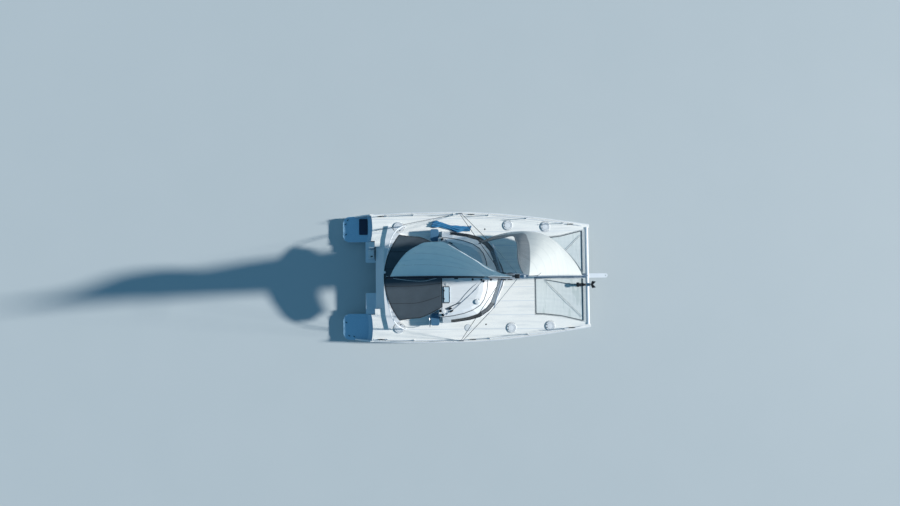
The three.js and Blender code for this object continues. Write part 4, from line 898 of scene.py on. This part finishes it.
NET_EDGES = [lambda t: (t, 0.0), lambda t: (t, 1.0), lambda t: (0.0, t), lambda t: (1.0, t)]
for side, word in ((1, "port"), (-1, "starboard")):
    net_points = [net_point(side, u, w) for u in evenly(NET_COUNT) for w in evenly(NET_COUNT)]
    net_faces = [f[::side] for f in grid_faces(NET_COUNT, NET_COUNT)]
    net = made("trampoline_net_" + word, net_points, net_faces, NET, "boat", "mesh_cloth",
               cloth_map=[(p.x, p.y) for p in net_points])
    thickened(net, 0.005)
    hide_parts("trampoline_" + word)
    border = joined("trampoline_border_" + word, [
        band_on(lambda u, w, s=side: net_point(s, u, w), [edge(t) for t in evenly(30)], 0.022, 0.005)
        for edge in NET_EDGES
    ], WEBBING, "boat", "mesh_cloth")
    lacing = thin_lines("trampoline_lacing_" + word, [lacing_path(side, edge, 22) for edge in NET_EDGES],
                        0.004, ROPE_DARK, slot="mesh_cloth")

# %% [markdown]
# ## The blue bundle
# A blue towelling cloth lies twisted along the port side deck. It is gathered into deep pleats across
# its width and wrung along its length, and it lies flat where it meets the deck.

# %% Blue bundle
BUNDLE_ROUTE = [
    (-1.44, 2.37), (-1.24, 2.37), (-1.0, 2.34), (-0.6, 2.22), (-0.25, 2.14), (0.05, 2.16), (0.30, 2.16),
]
BUNDLE_WIDTH = [0.17, 0.18, 0.12, 0.12, 0.18, 0.12, 0.16]
BUNDLE_WRAP, BUNDLE_TWIST, PLEATS = 0.9, 2.2, 7
CLOTH_WIDTH, CLOTH_LENGTH = 0.6, 1.75


def bundle_point(s, t):
    """t runs along the bundle and s across the gathered cloth, both from 0 to 1."""
    x = through([p[0] for p in BUNDLE_ROUTE], t)
    y = through([p[1] for p in BUNDLE_ROUTE], t)
    half = through(BUNDLE_WIDTH, t)
    turn = 2.0 * math.pi * (s - 0.5) * BUNDLE_WRAP + BUNDLE_TWIST * t
    pleat = 1.0 + 0.30 * math.sin(2 * math.pi * PLEATS * s + 5 * t) + 0.10 * math.sin(31 * t + 9 * s)
    reach = half * 0.66 * pleat
    rise = 0.052 + 0.6 * reach * math.sin(turn)
    flat_floor = max(rise, 0.007 + 0.004 * math.sin(40 * s))
    return Vector((x + 0.35 * reach * math.cos(turn), y + reach * math.cos(turn), deck_z(x) + flat_floor))


BUNDLE_ROWS, BUNDLE_COLUMNS = 81, 85
shares = [(s, t) for t in evenly(BUNDLE_ROWS) for s in evenly(BUNDLE_COLUMNS)]
bundle = made("blue_towelling_bundle", [bundle_point(s, t) for s, t in shares],
              grid_faces(BUNDLE_ROWS, BUNDLE_COLUMNS), TOWELLING, "boat", "blue_cloth",
              cloth_map=[(s * CLOTH_WIDTH, t * CLOTH_LENGTH) for s, t in shares])
thickened(bundle, 0.005, 1.0)
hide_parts("blue_bundle")

# %% [markdown]
# ## Cabin trim
# The windows sit in one dark moulded band that runs round the foot of the cabin, so the pillars between
# them are dark too. Above it the white side leans in to the brow, where a dark line of painted shade
# marks the edge of the roof moulding. The table gives the cabin's outline at its foot and at its brow.

# %% Window band and brow
CABIN_EDGE = [
    (-0.99, 2.06, -0.99, 1.70), (-0.45, 2.04, -0.56, 1.65), (0.25, 1.94, -0.09, 1.55),
    (0.71, 1.81, 0.30, 1.41), (1.13, 1.52, 0.61, 1.21), (1.37, 1.23, 0.77, 0.99),
    (1.54, 0.83, 0.89, 0.65), (1.74, 0.38, 0.93, 0.32), (1.83, 0.0, 0.94, 0.0),
]
BROW_Z = 2.33
WINDOW_LOW, WINDOW_HIGH = 1.48, 1.79
LAP = 0.004


def cabin_point(place, z, side=1, out=0.0):
    """A point on the cabin's side: place counts along the table, and out lifts it off the surface."""
    i = min(int(place), len(CABIN_EDGE) - 2)
    f = place - i
    (ax, ay, dx, dy), (bx, by, cx, cy) = CABIN_EDGE[i], CABIN_EDGE[i + 1]
    foot_a, foot_b = Vector((ax, ay, deck_z(ax))), Vector((bx, by, deck_z(bx)))
    brow_a, brow_b = Vector((dx, dy, BROW_Z)), Vector((cx, cy, BROW_Z))
    if side < 0:
        foot_a, foot_b, brow_a, brow_b, f = foot_b, foot_a, brow_b, brow_a, 1 - f
    up = (z - foot_a.z) / (BROW_Z - foot_a.z)
    if f >= up:
        p = foot_a + (foot_b - foot_a) * (f - up) + (brow_b - foot_a) * up
    else:
        p = foot_a + (brow_b - foot_a) * f + (brow_a - foot_a) * (up - f)
    outward = Vector((ay - by, bx - ax, 0.5 * math.hypot(bx - ax, by - ay))).normalized()
    p += outward * out
    return Vector((p.x, side * p.y, p.z))


def band_sheet(place_from, place_to, side, columns, rows, low, high, out):
    """A thin closed shell over part of the cabin's side."""
    points = []
    for lift in (out, -0.01):
        for c in evenly(columns):
            for r in evenly(rows):
                place = between(place_from, place_to, c)
                points.append(cabin_point(place, between(low, high, r), side, lift))
    half = columns * rows
    faces = []
    for face in grid_faces(columns, rows):
        faces += [face, tuple(i + half for i in face[::-1])]
    rim = list(range(rows)) + [c * rows + rows - 1 for c in range(1, columns)]
    rim += [(columns - 1) * rows + r for r in range(rows - 2, -1, -1)]
    rim += [c * rows for c in range(columns - 2, 0, -1)]
    for a, b in zip(rim, rim[1:] + rim[:1]):
        faces.append((a, a + half, b + half, b))
    if side > 0:
        faces = [face[::-1] for face in faces]
    return points, faces


joined("window_pillars", [
    band_sheet(3.28, 5.06, side, 24, 4, WINDOW_LOW - LAP, WINDOW_HIGH + LAP, LAP) for side in (1, -1)
], DARK_MOULDING)
lines("window_seals", [
    [cabin_point(between(0.7, 7.98, t), z, side, 0.002) for t in evenly(90)]
    for side in (1, -1) for z in (WINDOW_LOW, WINDOW_HIGH)
], 0.013, DARK_RUBBER, smooth=False)
# A dark line under the brow is painted shade.
thin_lines("roof_brow_gap", [
    [cabin_point(between(0.0, 7.99, t), 2.285, side, 0.012) for t in evenly(80)] for side in (1, -1)
], 0.015, DARK_MOULDING)

# %% [markdown]
# ## Two finishes on one solid
# The toe rails are white and the stanchions that stand on them are polished. The winches have black
# drums on white plinths. The finish of each face follows from its height, so each of these solids gets
# a second material above a line.

# %% Rails and winches
CLEAT_PLACES = [-3.75, 0.34, 4.75]
CLEAT_HALF = 0.18
TOE_RAIL_HIGH = 0.035
WINCH_BASE_TOP = 2.521
RAIL_FINISHES = (PAINTED_ALUMINIUM, STAINLESS, BLACK_PLASTIC)
WINCH_FINISHES = (WHITE_PLASTIC, BLACK_PLASTIC)
for rail_name in ("guard_rail_port", "guard_rail_starboard", "winches_port", "winches_starboard"):
    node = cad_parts[rail_name]
    rail = rail_name.startswith("guard")
    node.data.materials.clear()
    for finish in RAIL_FINISHES if rail else WINCH_FINISHES:
        node.data.materials.append(finish)
    for face in node.data.polygons:
        middle = node.matrix_world @ face.center
        edge = deck_z(middle.x) + TOE_RAIL_HIGH if rail else WINCH_BASE_TOP
        face.material_index = int(middle.z > edge)
        if rail and face.material_index and min(abs(middle.x - x) for x in CLEAT_PLACES) < CLEAT_HALF:
            face.material_index = 2

# The sail slides in a dark groove on the mast's aft side.
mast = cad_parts["mast"]
mast.data.materials.append(DARK_ANODISED)
for face in mast.data.polygons:
    middle = mast.matrix_world @ face.center
    face.material_index = int(middle.x < 0.97 and abs(middle.y) < 0.05 and middle.z > 3.5)

# %% [markdown]
# ## Shapes for small fittings
# Most fittings are a turned shape, a ring or a box with soft edges. Each helper returns points and faces.


# %% Shape helpers
def moved(part, place, turn=(0.0, 0.0, 0.0)):
    points, faces = part
    rotation = Euler(turn).to_matrix()
    return [rotation @ Vector(p) + Vector(place) for p in points], faces


def ring(radius, tube, sides=28, section=8):
    points = []
    for i in range(sides):
        a = 2 * math.pi * i / sides
        for k in range(section):
            b = -2 * math.pi * k / section
            reach = radius + tube * math.cos(b)
            points.append((reach * math.cos(a), reach * math.sin(a), tube * math.sin(b)))
    faces = grid_faces(sides + 1, section, closed=True)
    return points, [tuple(i % len(points) for i in face) for face in faces]


def soft_box(size, soft=0.008):
    shape = bmesh.new()
    bmesh.ops.create_cube(shape, size=1.0)
    bmesh.ops.scale(shape, vec=Vector(size), verts=shape.verts)
    bmesh.ops.bevel(shape, geom=shape.edges[:], offset=soft, segments=2, profile=0.6, affect="EDGES")
    shape.verts.index_update()
    points = [vertex.co.copy() for vertex in shape.verts]
    faces = [tuple(vertex.index for vertex in face.verts) for face in shape.faces]
    shape.free()
    return points, faces


def boxes(name, sizes_and_places, material, body="boat", others=(), soft=0.008):
    """Several soft-edged boxes, and other shapes with them, as one piece."""
    shapes = [moved(soft_box(size, soft), place) for size, place in sizes_and_places]
    return joined(name, [*others, *shapes], material, body)


def dome(radius, high, sides=20):
    profile = [(0, 0), (1, 0), (1, 0.5), (0.86, 0.85), (0.5, 1), (0, 1)]
    return lathe([(radius * reach, high * z) for reach, z in profile], sides)


def pulley(size=0.05):
    """A block: a grooved wheel between two cheeks, in one turned shape."""
    cheek = [(0, 0.5), (0.8, 0.5), (0.9, 0.3), (0.62, 0.1)]
    profile = [(reach, -z) for reach, z in cheek] + cheek[::-1]
    return lathe([(reach * size, z * size) for reach, z in profile], 14)


ROOF_RISE = [(0.0, 2.33), (0.02, 2.37), (0.13, 2.465), (0.33, 2.49)]


def roof_z(x, y):
    """The roof's height: it rises from the brow over its first third of a metre."""
    here = Vector((x, abs(y)))
    gaps = []
    for (*_foot, ax, ay), (*_next, bx, by) in zip(CABIN_EDGE, CABIN_EDGE[1:]):
        start, run = Vector((ax, ay)), Vector((bx - ax, by - ay))
        share = min(max((here - start).dot(run) / run.length_squared, 0.0), 1.0)
        gaps.append((here - start - run * share).length)
    return table_at(ROOF_RISE, 1, min(gaps))


# %% [markdown]
# ## Hatches
# Every round lid has a seal, two latches and a flange in the deck round it. The flange stops short of
# the hinge, so that the lid can swing. The roof hatches are tinted panes in a dark frame.

# %% Hatch trim
ROUND_LIDS = [
    ("hatch_port_aft", 1.96, 2.29, 0.21, 0.031, 0),
    ("hatch_port_fore", 3.63, 2.21, 0.21, 0.031, 0),
    ("hatch_starboard_aft", 2.06, -2.29, 0.21, 0.031, 0),
    ("hatch_starboard_fore", 3.78, -2.22, 0.21, 0.031, 0),
    ("locker_lid_port", -2.95, 2.27, 0.225, 0.046, 90),
    ("locker_lid_starboard", -2.95, -2.27, 0.225, 0.046, -90),
]


def lid_point(lid, reach, degrees, lift):
    """A point over the deck round a lid, at a number of degrees from its hinge."""
    _name, x, y, _radius, _high, hinge_at = lid
    a = math.radians(hinge_at + degrees)
    px = x + reach * math.cos(a)
    return Vector((px, y + reach * math.sin(a), deck_z(px) + lift))


flanges = []
for lid in ROUND_LIDS:
    lid_name, _x, _y, radius, high, _hinge_at = lid
    thin_lines(lid_name + "_seal", [
        [lid_point(lid, reach, 10 * i, high + 0.004) for i in range(37)]
        for reach in (radius - 0.018, radius - 0.075)
    ], 0.005, GREY_PLASTIC, lid_name)
    fittings(lid_name + "_latches", soft_box((0.05, 0.026, 0.014)), [
        (lid_point(lid, radius - 0.05, degrees, high + 0.012), (0, 0, math.radians(degrees)))
        for degrees in (155, 205)
    ], BLACK_PLASTIC, lid_name)
    flanges.append([lid_point(lid, radius + 0.03, 45 + 10 * i, 0.004) for i in range(28)])
thin_lines("deck_hatch_flanges", flanges, 0.006, GREY_PLASTIC)

ROOF_TOP, PANE_THICK = 2.4906, 0.032
PANE_TOP = ROOF_TOP + PANE_THICK
PANE_RIM = [(-0.925, 0.42), (-0.925, 1.09), (-0.68, 1.09), (-0.68, 0.42)]
PANE_SEAL = [(-0.70, 0.385), (-0.955, 0.385), (-0.955, 1.125), (-0.70, 1.125)]
for side, word in ((1, "port"), (-1, "starboard")):
    lines("roof_hatch_frame_" + word, [
        [(ax, side * ay, PANE_TOP), (bx, side * by, PANE_TOP)]
        for (ax, ay), (bx, by) in zip(PANE_RIM, PANE_RIM[1:] + PANE_RIM[:1])
    ], 0.015, DARK_ANODISED, "roof_hatch_" + word, smooth=False)
    fittings("roof_hatch_latches_" + word, soft_box((0.03, 0.07, 0.016)), [
        ((-0.90, side * y, PANE_TOP + 0.016), (0, 0, 0)) for y in (0.58, 0.93)
    ], BLACK_PLASTIC, "roof_hatch_" + word)
    thin_lines("roof_hatch_seal_" + word, [[(x, side * y, 2.494) for x, y in PANE_SEAL]], 0.007, DARK_RUBBER)

# %% [markdown]
# ## Roof and side decks
# Control lines run aft from the foot of the mast, through rope clutches, to the winches. Each winch
# carries three turns of rope. The side decks have a cover plate and a filler cap.

# %% Roof lines and deck fittings
CONTROL_LINES = [
    [(0.90, -0.10), (0.586, -0.17), (-0.07, -0.807), (-0.30, -1.14), (-0.86, -1.40)],
    [(0.72, -0.20), (0.234, -0.764), (-0.139, -1.073), (-0.50, -1.40), (-0.80, -1.56)],
    [(0.84, -0.14), (0.50, -0.52), (-0.10, -1.02), (-0.40, -1.30), (-0.82, -1.48)],
]
for number, (path, material) in enumerate(zip(CONTROL_LINES, (ROPE_DARK, ROPE_DARK, ROPE_BLUE))):
    lines("control_line_%d" % number, [
        [(x, side * -y, roof_z(x, y) + 0.012) for x, y in path] for side in (1, -1)
    ], 0.007, material)
TAIL_ROUTE = [(-0.20, 1.10), (-0.45, 1.19), (-0.62, 1.27), (-0.84, 1.36)]
lines("rope_tails", [
    [(x, side * y, roof_z(x, y) + 0.022) for x, y in TAIL_ROUTE] for side in (1, -1)
], 0.017, ROPE_DARK)


def spiral(middle, radius, step, count, rise=0.0):
    """Places that wind round an upright axis."""
    turns = [(radius * math.cos(step * i), radius * math.sin(step * i), rise * i) for i in range(count)]
    return [Vector(middle) + Vector(turn) for turn in turns]


lines("winch_turns", [
    spiral((x, side * y, 2.551), 0.055, 0.4, 48, 0.0012)
    for x, y in ((-0.965, 1.62), (-1.06, 1.445)) for side in (1, -1)
], 0.006, ROPE_WHITE, sides=6)
fittings("rope_clutches", soft_box((0.15, 0.06, 0.055)), [
    ((x, side * y, roof_z(x, y) + 0.035), (0, 0, side * -0.45))
    for side in (1, -1) for x, y in ((-0.60, 1.466), (-0.66, 1.36))
], BLACK_PLASTIC)
fittings("deck_blocks", pulley(0.05), [
    ((x, side * y, roof_z(x, y) + 0.03), (0, 0, 0))
    for side in (1, -1) for x, y in ((0.32, 0.11), (0.70, 0.13), (0.80, 0.20))
], BLACK_PLASTIC)
fittings("roof_caps", dome(0.05, 0.03), [((-0.82, side * 0.315, 2.489), (0, 0, 0)) for side in (1, -1)],
         WHITE_PLASTIC)
thin_lines("vent_ring", [
    spiral((0.487, -1.06, roof_z(0.487, 1.06) + 0.006), 0.13, 1 / 6, 39)
], 0.006, GREY_PLASTIC)

DECK_SLOPE = (0, -DECK_RISE, 0)
joined("deck_plate", [moved(dome(0.15, 0.012, 28), (0.13, -2.27, deck_z(0.13) - 0.004), DECK_SLOPE)],
       WHITE_PLASTIC)
joined("deck_plate_ring", [moved(ring(0.152, 0.005), (0.13, -2.27, deck_z(0.13) + 0.002), DECK_SLOPE)],
       GREY_PLASTIC)
fittings("filler_caps", dome(0.035, 0.012), [
    ((0.936, side * 2.13, deck_z(0.936) - 0.003), DECK_SLOPE) for side in (1, -1)
], BLACK_PLASTIC)
# A dark line along the port side deck is a painted shadow of the port shroud.
thin_lines("jack_line", [[
    (x, y, deck_z(x) + 0.007) for x, y in ((-4.0, 2.13), (-2.0, 2.52), (-0.65, 2.77))
]], 0.007, ROPE_DARK)

# %% [markdown]
# ## Lifelines
# Two wires run through the stanchions on each side and come down to the deck at their ends.

# %% Lifelines
STANCHION_PLACES = [-3.5, -2.29, -0.5, 1.08, 2.77, 4.39]


def rail_point(x, high, side):
    return (x, side * (table_at(SHEER, 1, x) - RAIL_INSET), deck_z(x) + high)


thin_lines("lifelines", [
    [rail_point(aft, 0.03, side), *[rail_point(x, high, side) for x in STANCHION_PLACES],
     rail_point(fore, 0.03, side)]
    for side in (1, -1) for high, aft, fore in ((0.60, -3.95, 5.12), (0.32, -3.75, 4.80))
], 0.004, WIRE)

# %% [markdown]
# ## Mast, boom and running rigging
# The halyards run down outside the mast to two winches. The boom hangs on its sheet, whose parts run
# between a block under the boom and the top of the aft arch.

# %% Running rigging
thin_lines("halyards", [
    [(x, y, 2.52), (x, y * 1.02, 6.0), (x, y, top)]
    for x, y, top in ((1.06, 0.088, 12.0), (1.04, -0.088, 12.0), (1.10, -0.086, 8.9), (1.12, 0.084, 12.0))
], 0.006, ROPE_DARK)
lines("halyard_coils", [
    [(1.07 + 0.03 * math.sin(0.5 * i), side * (0.125 + 0.015 * math.cos(0.23 * i)),
      3.0 + 0.16 * math.cos(0.5 * i)) for i in range(52)] for side in (1, -1)
], 0.008, ROPE_WHITE, sides=6)
DRUM = [(0, 0), (0.055, 0), (0.04, 0.03), (0.045, 0.07), (0.052, 0.09), (0, 0.1)]
fittings("mast_winches", lathe(DRUM, 16), [
    ((1.05, side * 0.072, 3.3), (side * -math.pi / 2, 0, 0)) for side in (1, -1)
], BLACK_PLASTIC)
boxes("mast_fittings", [
    ((0.10, 0.13, 0.10), (1.19, 0.0, 7.6)), ((0.16, 0.05, 0.07), (1.06, 0.10, 9.0)),
    ((0.16, 0.05, 0.07), (1.06, -0.10, 9.0)), ((0.12, 0.04, 0.16), (1.08, 0.085, 11.0)),
    ((0.12, 0.04, 0.16), (1.08, -0.085, 11.0)), ((0.11, 0.10, 0.05), (0.915, 0.0, 14.327)),
    ((0.06, 0.06, 0.05), (1.20, 0.0, 11.6)),
], BLACK_PLASTIC)
joined("masthead_light", [moved(dome(0.03, 0.07), (1.08, 0.0, 14.298))], WHITE_PLASTIC)
thin_lines("wind_vane", [
    [(1.12, 0.0, 14.29), (1.13, 0.0, 14.42), (1.38, 0.02, 14.43)],
    [(1.30, -0.06, 14.43), (1.46, 0.08, 14.43)],
], 0.004, BLACK_PLASTIC)
thin_lines("masthead_aerial", [[(1.0, 0.02, 14.29), (1.0, 0.02, 14.62)]], 0.003, BLACK_PLASTIC)
SHROUDS = [
    (Vector((foot_x, side * 2.852, 1.41)), Vector((x, side * y, z)))
    for side in (1, -1) for foot_x, x, y, z in ((-0.12, 0.75, 1.0, 9.0), (-0.20, 1.077, 0.01, 8.84))
]
for name, low, high, radius, finish in (
    ("turnbuckles", 0.012, 0.05, 0.014, STAINLESS), ("shroud_covers", 0.06, 0.88, 0.011, DARK_RUBBER),
):
    stretches = [[foot.lerp(top, low), foot.lerp(top, high)] for foot, top in SHROUDS]
    lines(name, stretches, radius, finish, smooth=False)

lines("reef_lines", [[
    (-2.95, -0.03, 4.0), (-2.4, -0.12, 3.93), (-1.73, -0.17, 3.90), (-1.4, -0.09, 3.96), (-1.2, -0.05, 4.0),
]], 0.008, ROPE_WHITE, "boom")
boxes("boom_fittings", [
    ((0.10, 0.07, 0.06), (-3.21, 0, 3.965)), ((0.12, 0.05, 0.05), (0.36, 0, 3.785)),
    ((0.16, 0.04, 0.04), (-0.4, -0.071, 3.9)), ((0.16, 0.04, 0.04), (-1.6, -0.071, 3.9)),
], BLACK_PLASTIC, "boom", [moved(pulley(0.05), (x, 0, 3.762), (math.pi / 2, 0, 0)) for x in (-2.96, -2.84)])
mainsheet = thin_lines("mainsheet", [
    [(-3.33, y, 3.462), (between(-3.33, x, 0.5), y * 0.7, 3.60), (x, y * 0.4, 3.745)]
    for y, x in ((-0.03, -2.99), (0.0, -2.94), (0.03, -2.87), (0.06, -2.82))
], 0.007, ROPE_WHITE, body=None)
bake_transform(mainsheet)
fittings("arch_blocks", pulley(0.045), [
    ((-3.34, y, 3.462), (0, 0, 0)) for y in (-0.05, 0.05)
], BLACK_PLASTIC)
joined("arch_light", [moved(dome(0.05, 0.06), (-3.355, 0.22, 3.425))], WHITE_PLASTIC)
thin_lines("genoa_sheet", [[
    (0.56, 1.39, 2.592), (0.1, 1.41, 2.56), (-0.33, 1.41, 2.53), (-0.60, 1.48, 2.545), (-0.90, 1.58, 2.565),
]], 0.008, ROPE_WHITE)

# %% [markdown]
# ## Bow and stern
# A dark bolt rope runs along three edges of each net. A bridle crosses each net from its inner aft corner
# towards the bow, and the anchor chain runs aft. The stern platforms carry cleats, and between the hulls
# a small platform carries a tube and a box.

# %% Bow and stern fittings
lines("net_bolt_ropes", [
    [net_point(side, *edge(t)) + Vector((inward, 0, 0.014)) for t in evenly(count)]
    for side in (1, -1) for edge, inward, count in zip(NET_EDGES[1:], (0, 0.004, -0.004), (24, 12, 12))
], 0.016, ROPE_DARK, smooth=False)
lines("net_bridles", [
    [(3.62, side * 0.2, deck_z(3.6) - 0.04), (4.45, side * 1.04, deck_z(4.4) - 0.05),
     (5.24, side * 1.84, deck_z(5.2) - 0.03)] for side in (1, -1)
], 0.006, ROPE_DARK, smooth=False)
CHAIN_ROUTE = [(3.62, -0.17), (4.1, -0.25), (4.7, -0.37), (4.86, -0.40)]
thin_lines("anchor_chain", [[(x, y, deck_z(x) - 0.035) for x, y in CHAIN_ROUTE]], 0.013, GALVANISED)
boxes("anchor_snubber", [
    ((0.34, 0.13, 0.07), (5.12, -0.40, 1.655)), ((0.12, 0.2, 0.06), (5.02, -0.40, 1.65)),
    ((0.16, 0.10, 0.09), (5.30, -0.40, 1.67)),
], BLACK_PLASTIC, soft=0.02)

fittings("platform_cleats", soft_box((0.09, 0.03, 0.028)), [
    ((x, y, 0.463), (0, 0, 0.6 * math.copysign(1, y)))
    for x, y in ((-5.48, 2.50), (-5.46, 2.02), (-5.38, 2.69), (-5.33, -2.66), (-5.10, -2.70), (-5.46, -2.05))
], BLACK_PLASTIC)
lines("platform_tube", [[
    (x, y, 0.93) for x, y in ((-4.25, 1.66), (-4.06, 1.66), (-4.05, 1.58), (-4.05, 0.78))
]], 0.018, DARK_ANODISED, smooth=False)
boxes("platform_box", [((0.26, 0.40, 0.16), (-4.22, 1.07, 0.961))], WHITE_PLASTIC, soft=0.03)
boxes("platform_box_handle", [((0.10, 0.05, 0.04), (-4.20, 0.97, 1.055))], BLACK_PLASTIC)

# %% [markdown]
# ## Hull sides
# A rubbing strake runs along each side, and three small fixed lights let day into each hull.

# %% Hull sides
STRAKE_DROP = 0.17
LIGHT_DROP = 0.42
strake_places = [-3.9 + 0.3 * i for i in range(31)]
lines("rubbing_strakes", [
    [(x, side * (table_at(SHEER, 1, x) + 0.004), deck_z(x) - STRAKE_DROP) for x in strake_places]
    for side in (1, -1)
], 0.012, GREY_PLASTIC, smooth=False)

light_places = []
for hull_name, side in (("hull_port", 1), ("hull_starboard", -1)):
    hull_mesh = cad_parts[hull_name].data
    corners = [vertex.co for vertex in hull_mesh.vertices]
    skin = BVHTree.FromPolygons(corners, [tuple(face.vertices) for face in hull_mesh.polygons])
    for x in (-0.9, 0.7, 2.3):
        start = Vector((x, side * 5.0, deck_z(x) - LIGHT_DROP))
        spot, outward, *_ = skin.ray_cast(start, Vector((0, -side, 0)))
        light_places.append((spot, outward.to_track_quat("Z", "Y").to_euler()))
fittings("hull_side_light_seals", soft_box((0.56, 0.17, 0.012), 0.004), light_places, DARK_RUBBER)
fittings("hull_side_lights", soft_box((0.52, 0.13, 0.022)), light_places, SIDE_ACRYLIC)

# %% [markdown]
# ## Floor and light
# The boat floats, so the floor stands at the waterline. A low sun in front of the bows gives the long
# soft shadows of the picture, and a pale sky fills them with a cooler light.

# %% Floor, sun and sky
floor_mesh = bpy.data.meshes.new("studio_floor")
REACH = 300.0
floor_corners = [(-REACH, -REACH, 0), (REACH, -REACH, 0), (REACH, REACH, 0), (-REACH, REACH, 0)]
floor_mesh.from_pydata(floor_corners, [], [(0, 1, 2, 3)])
floor = placed("studio_floor", floor_mesh)
floor_mesh.materials.append(hard("pale_studio_floor", "#B9C0C2", "#B5BDBF", 0.7, 0.0, 3000))

sun_data = bpy.data.lights.new("low_sun", "SUN")
sun_data.energy = 5.0
sun_data.angle = math.radians(3)
sun_data.color = (1.0, 0.98, 0.95)
sun = placed("low_sun", sun_data)
SUN_HEIGHT = math.radians(30)
SUN_SIDE = math.radians(3)
level = math.cos(SUN_HEIGHT)
towards_sun = Vector((level * math.cos(SUN_SIDE), level * math.sin(SUN_SIDE), math.sin(SUN_HEIGHT)))
sun.rotation_mode = "QUATERNION"
sun.rotation_quaternion = towards_sun.to_track_quat("Z", "Y")

sky = bpy.data.worlds.new("pale_sky")
sky.use_nodes = True
give(sky.node_tree, sky.node_tree.nodes["Background"], {"Color": "#86CCFC", "Strength": 0.37})
bpy.context.scene.world = sky
bpy.context.scene.view_settings.view_transform = "Standard"
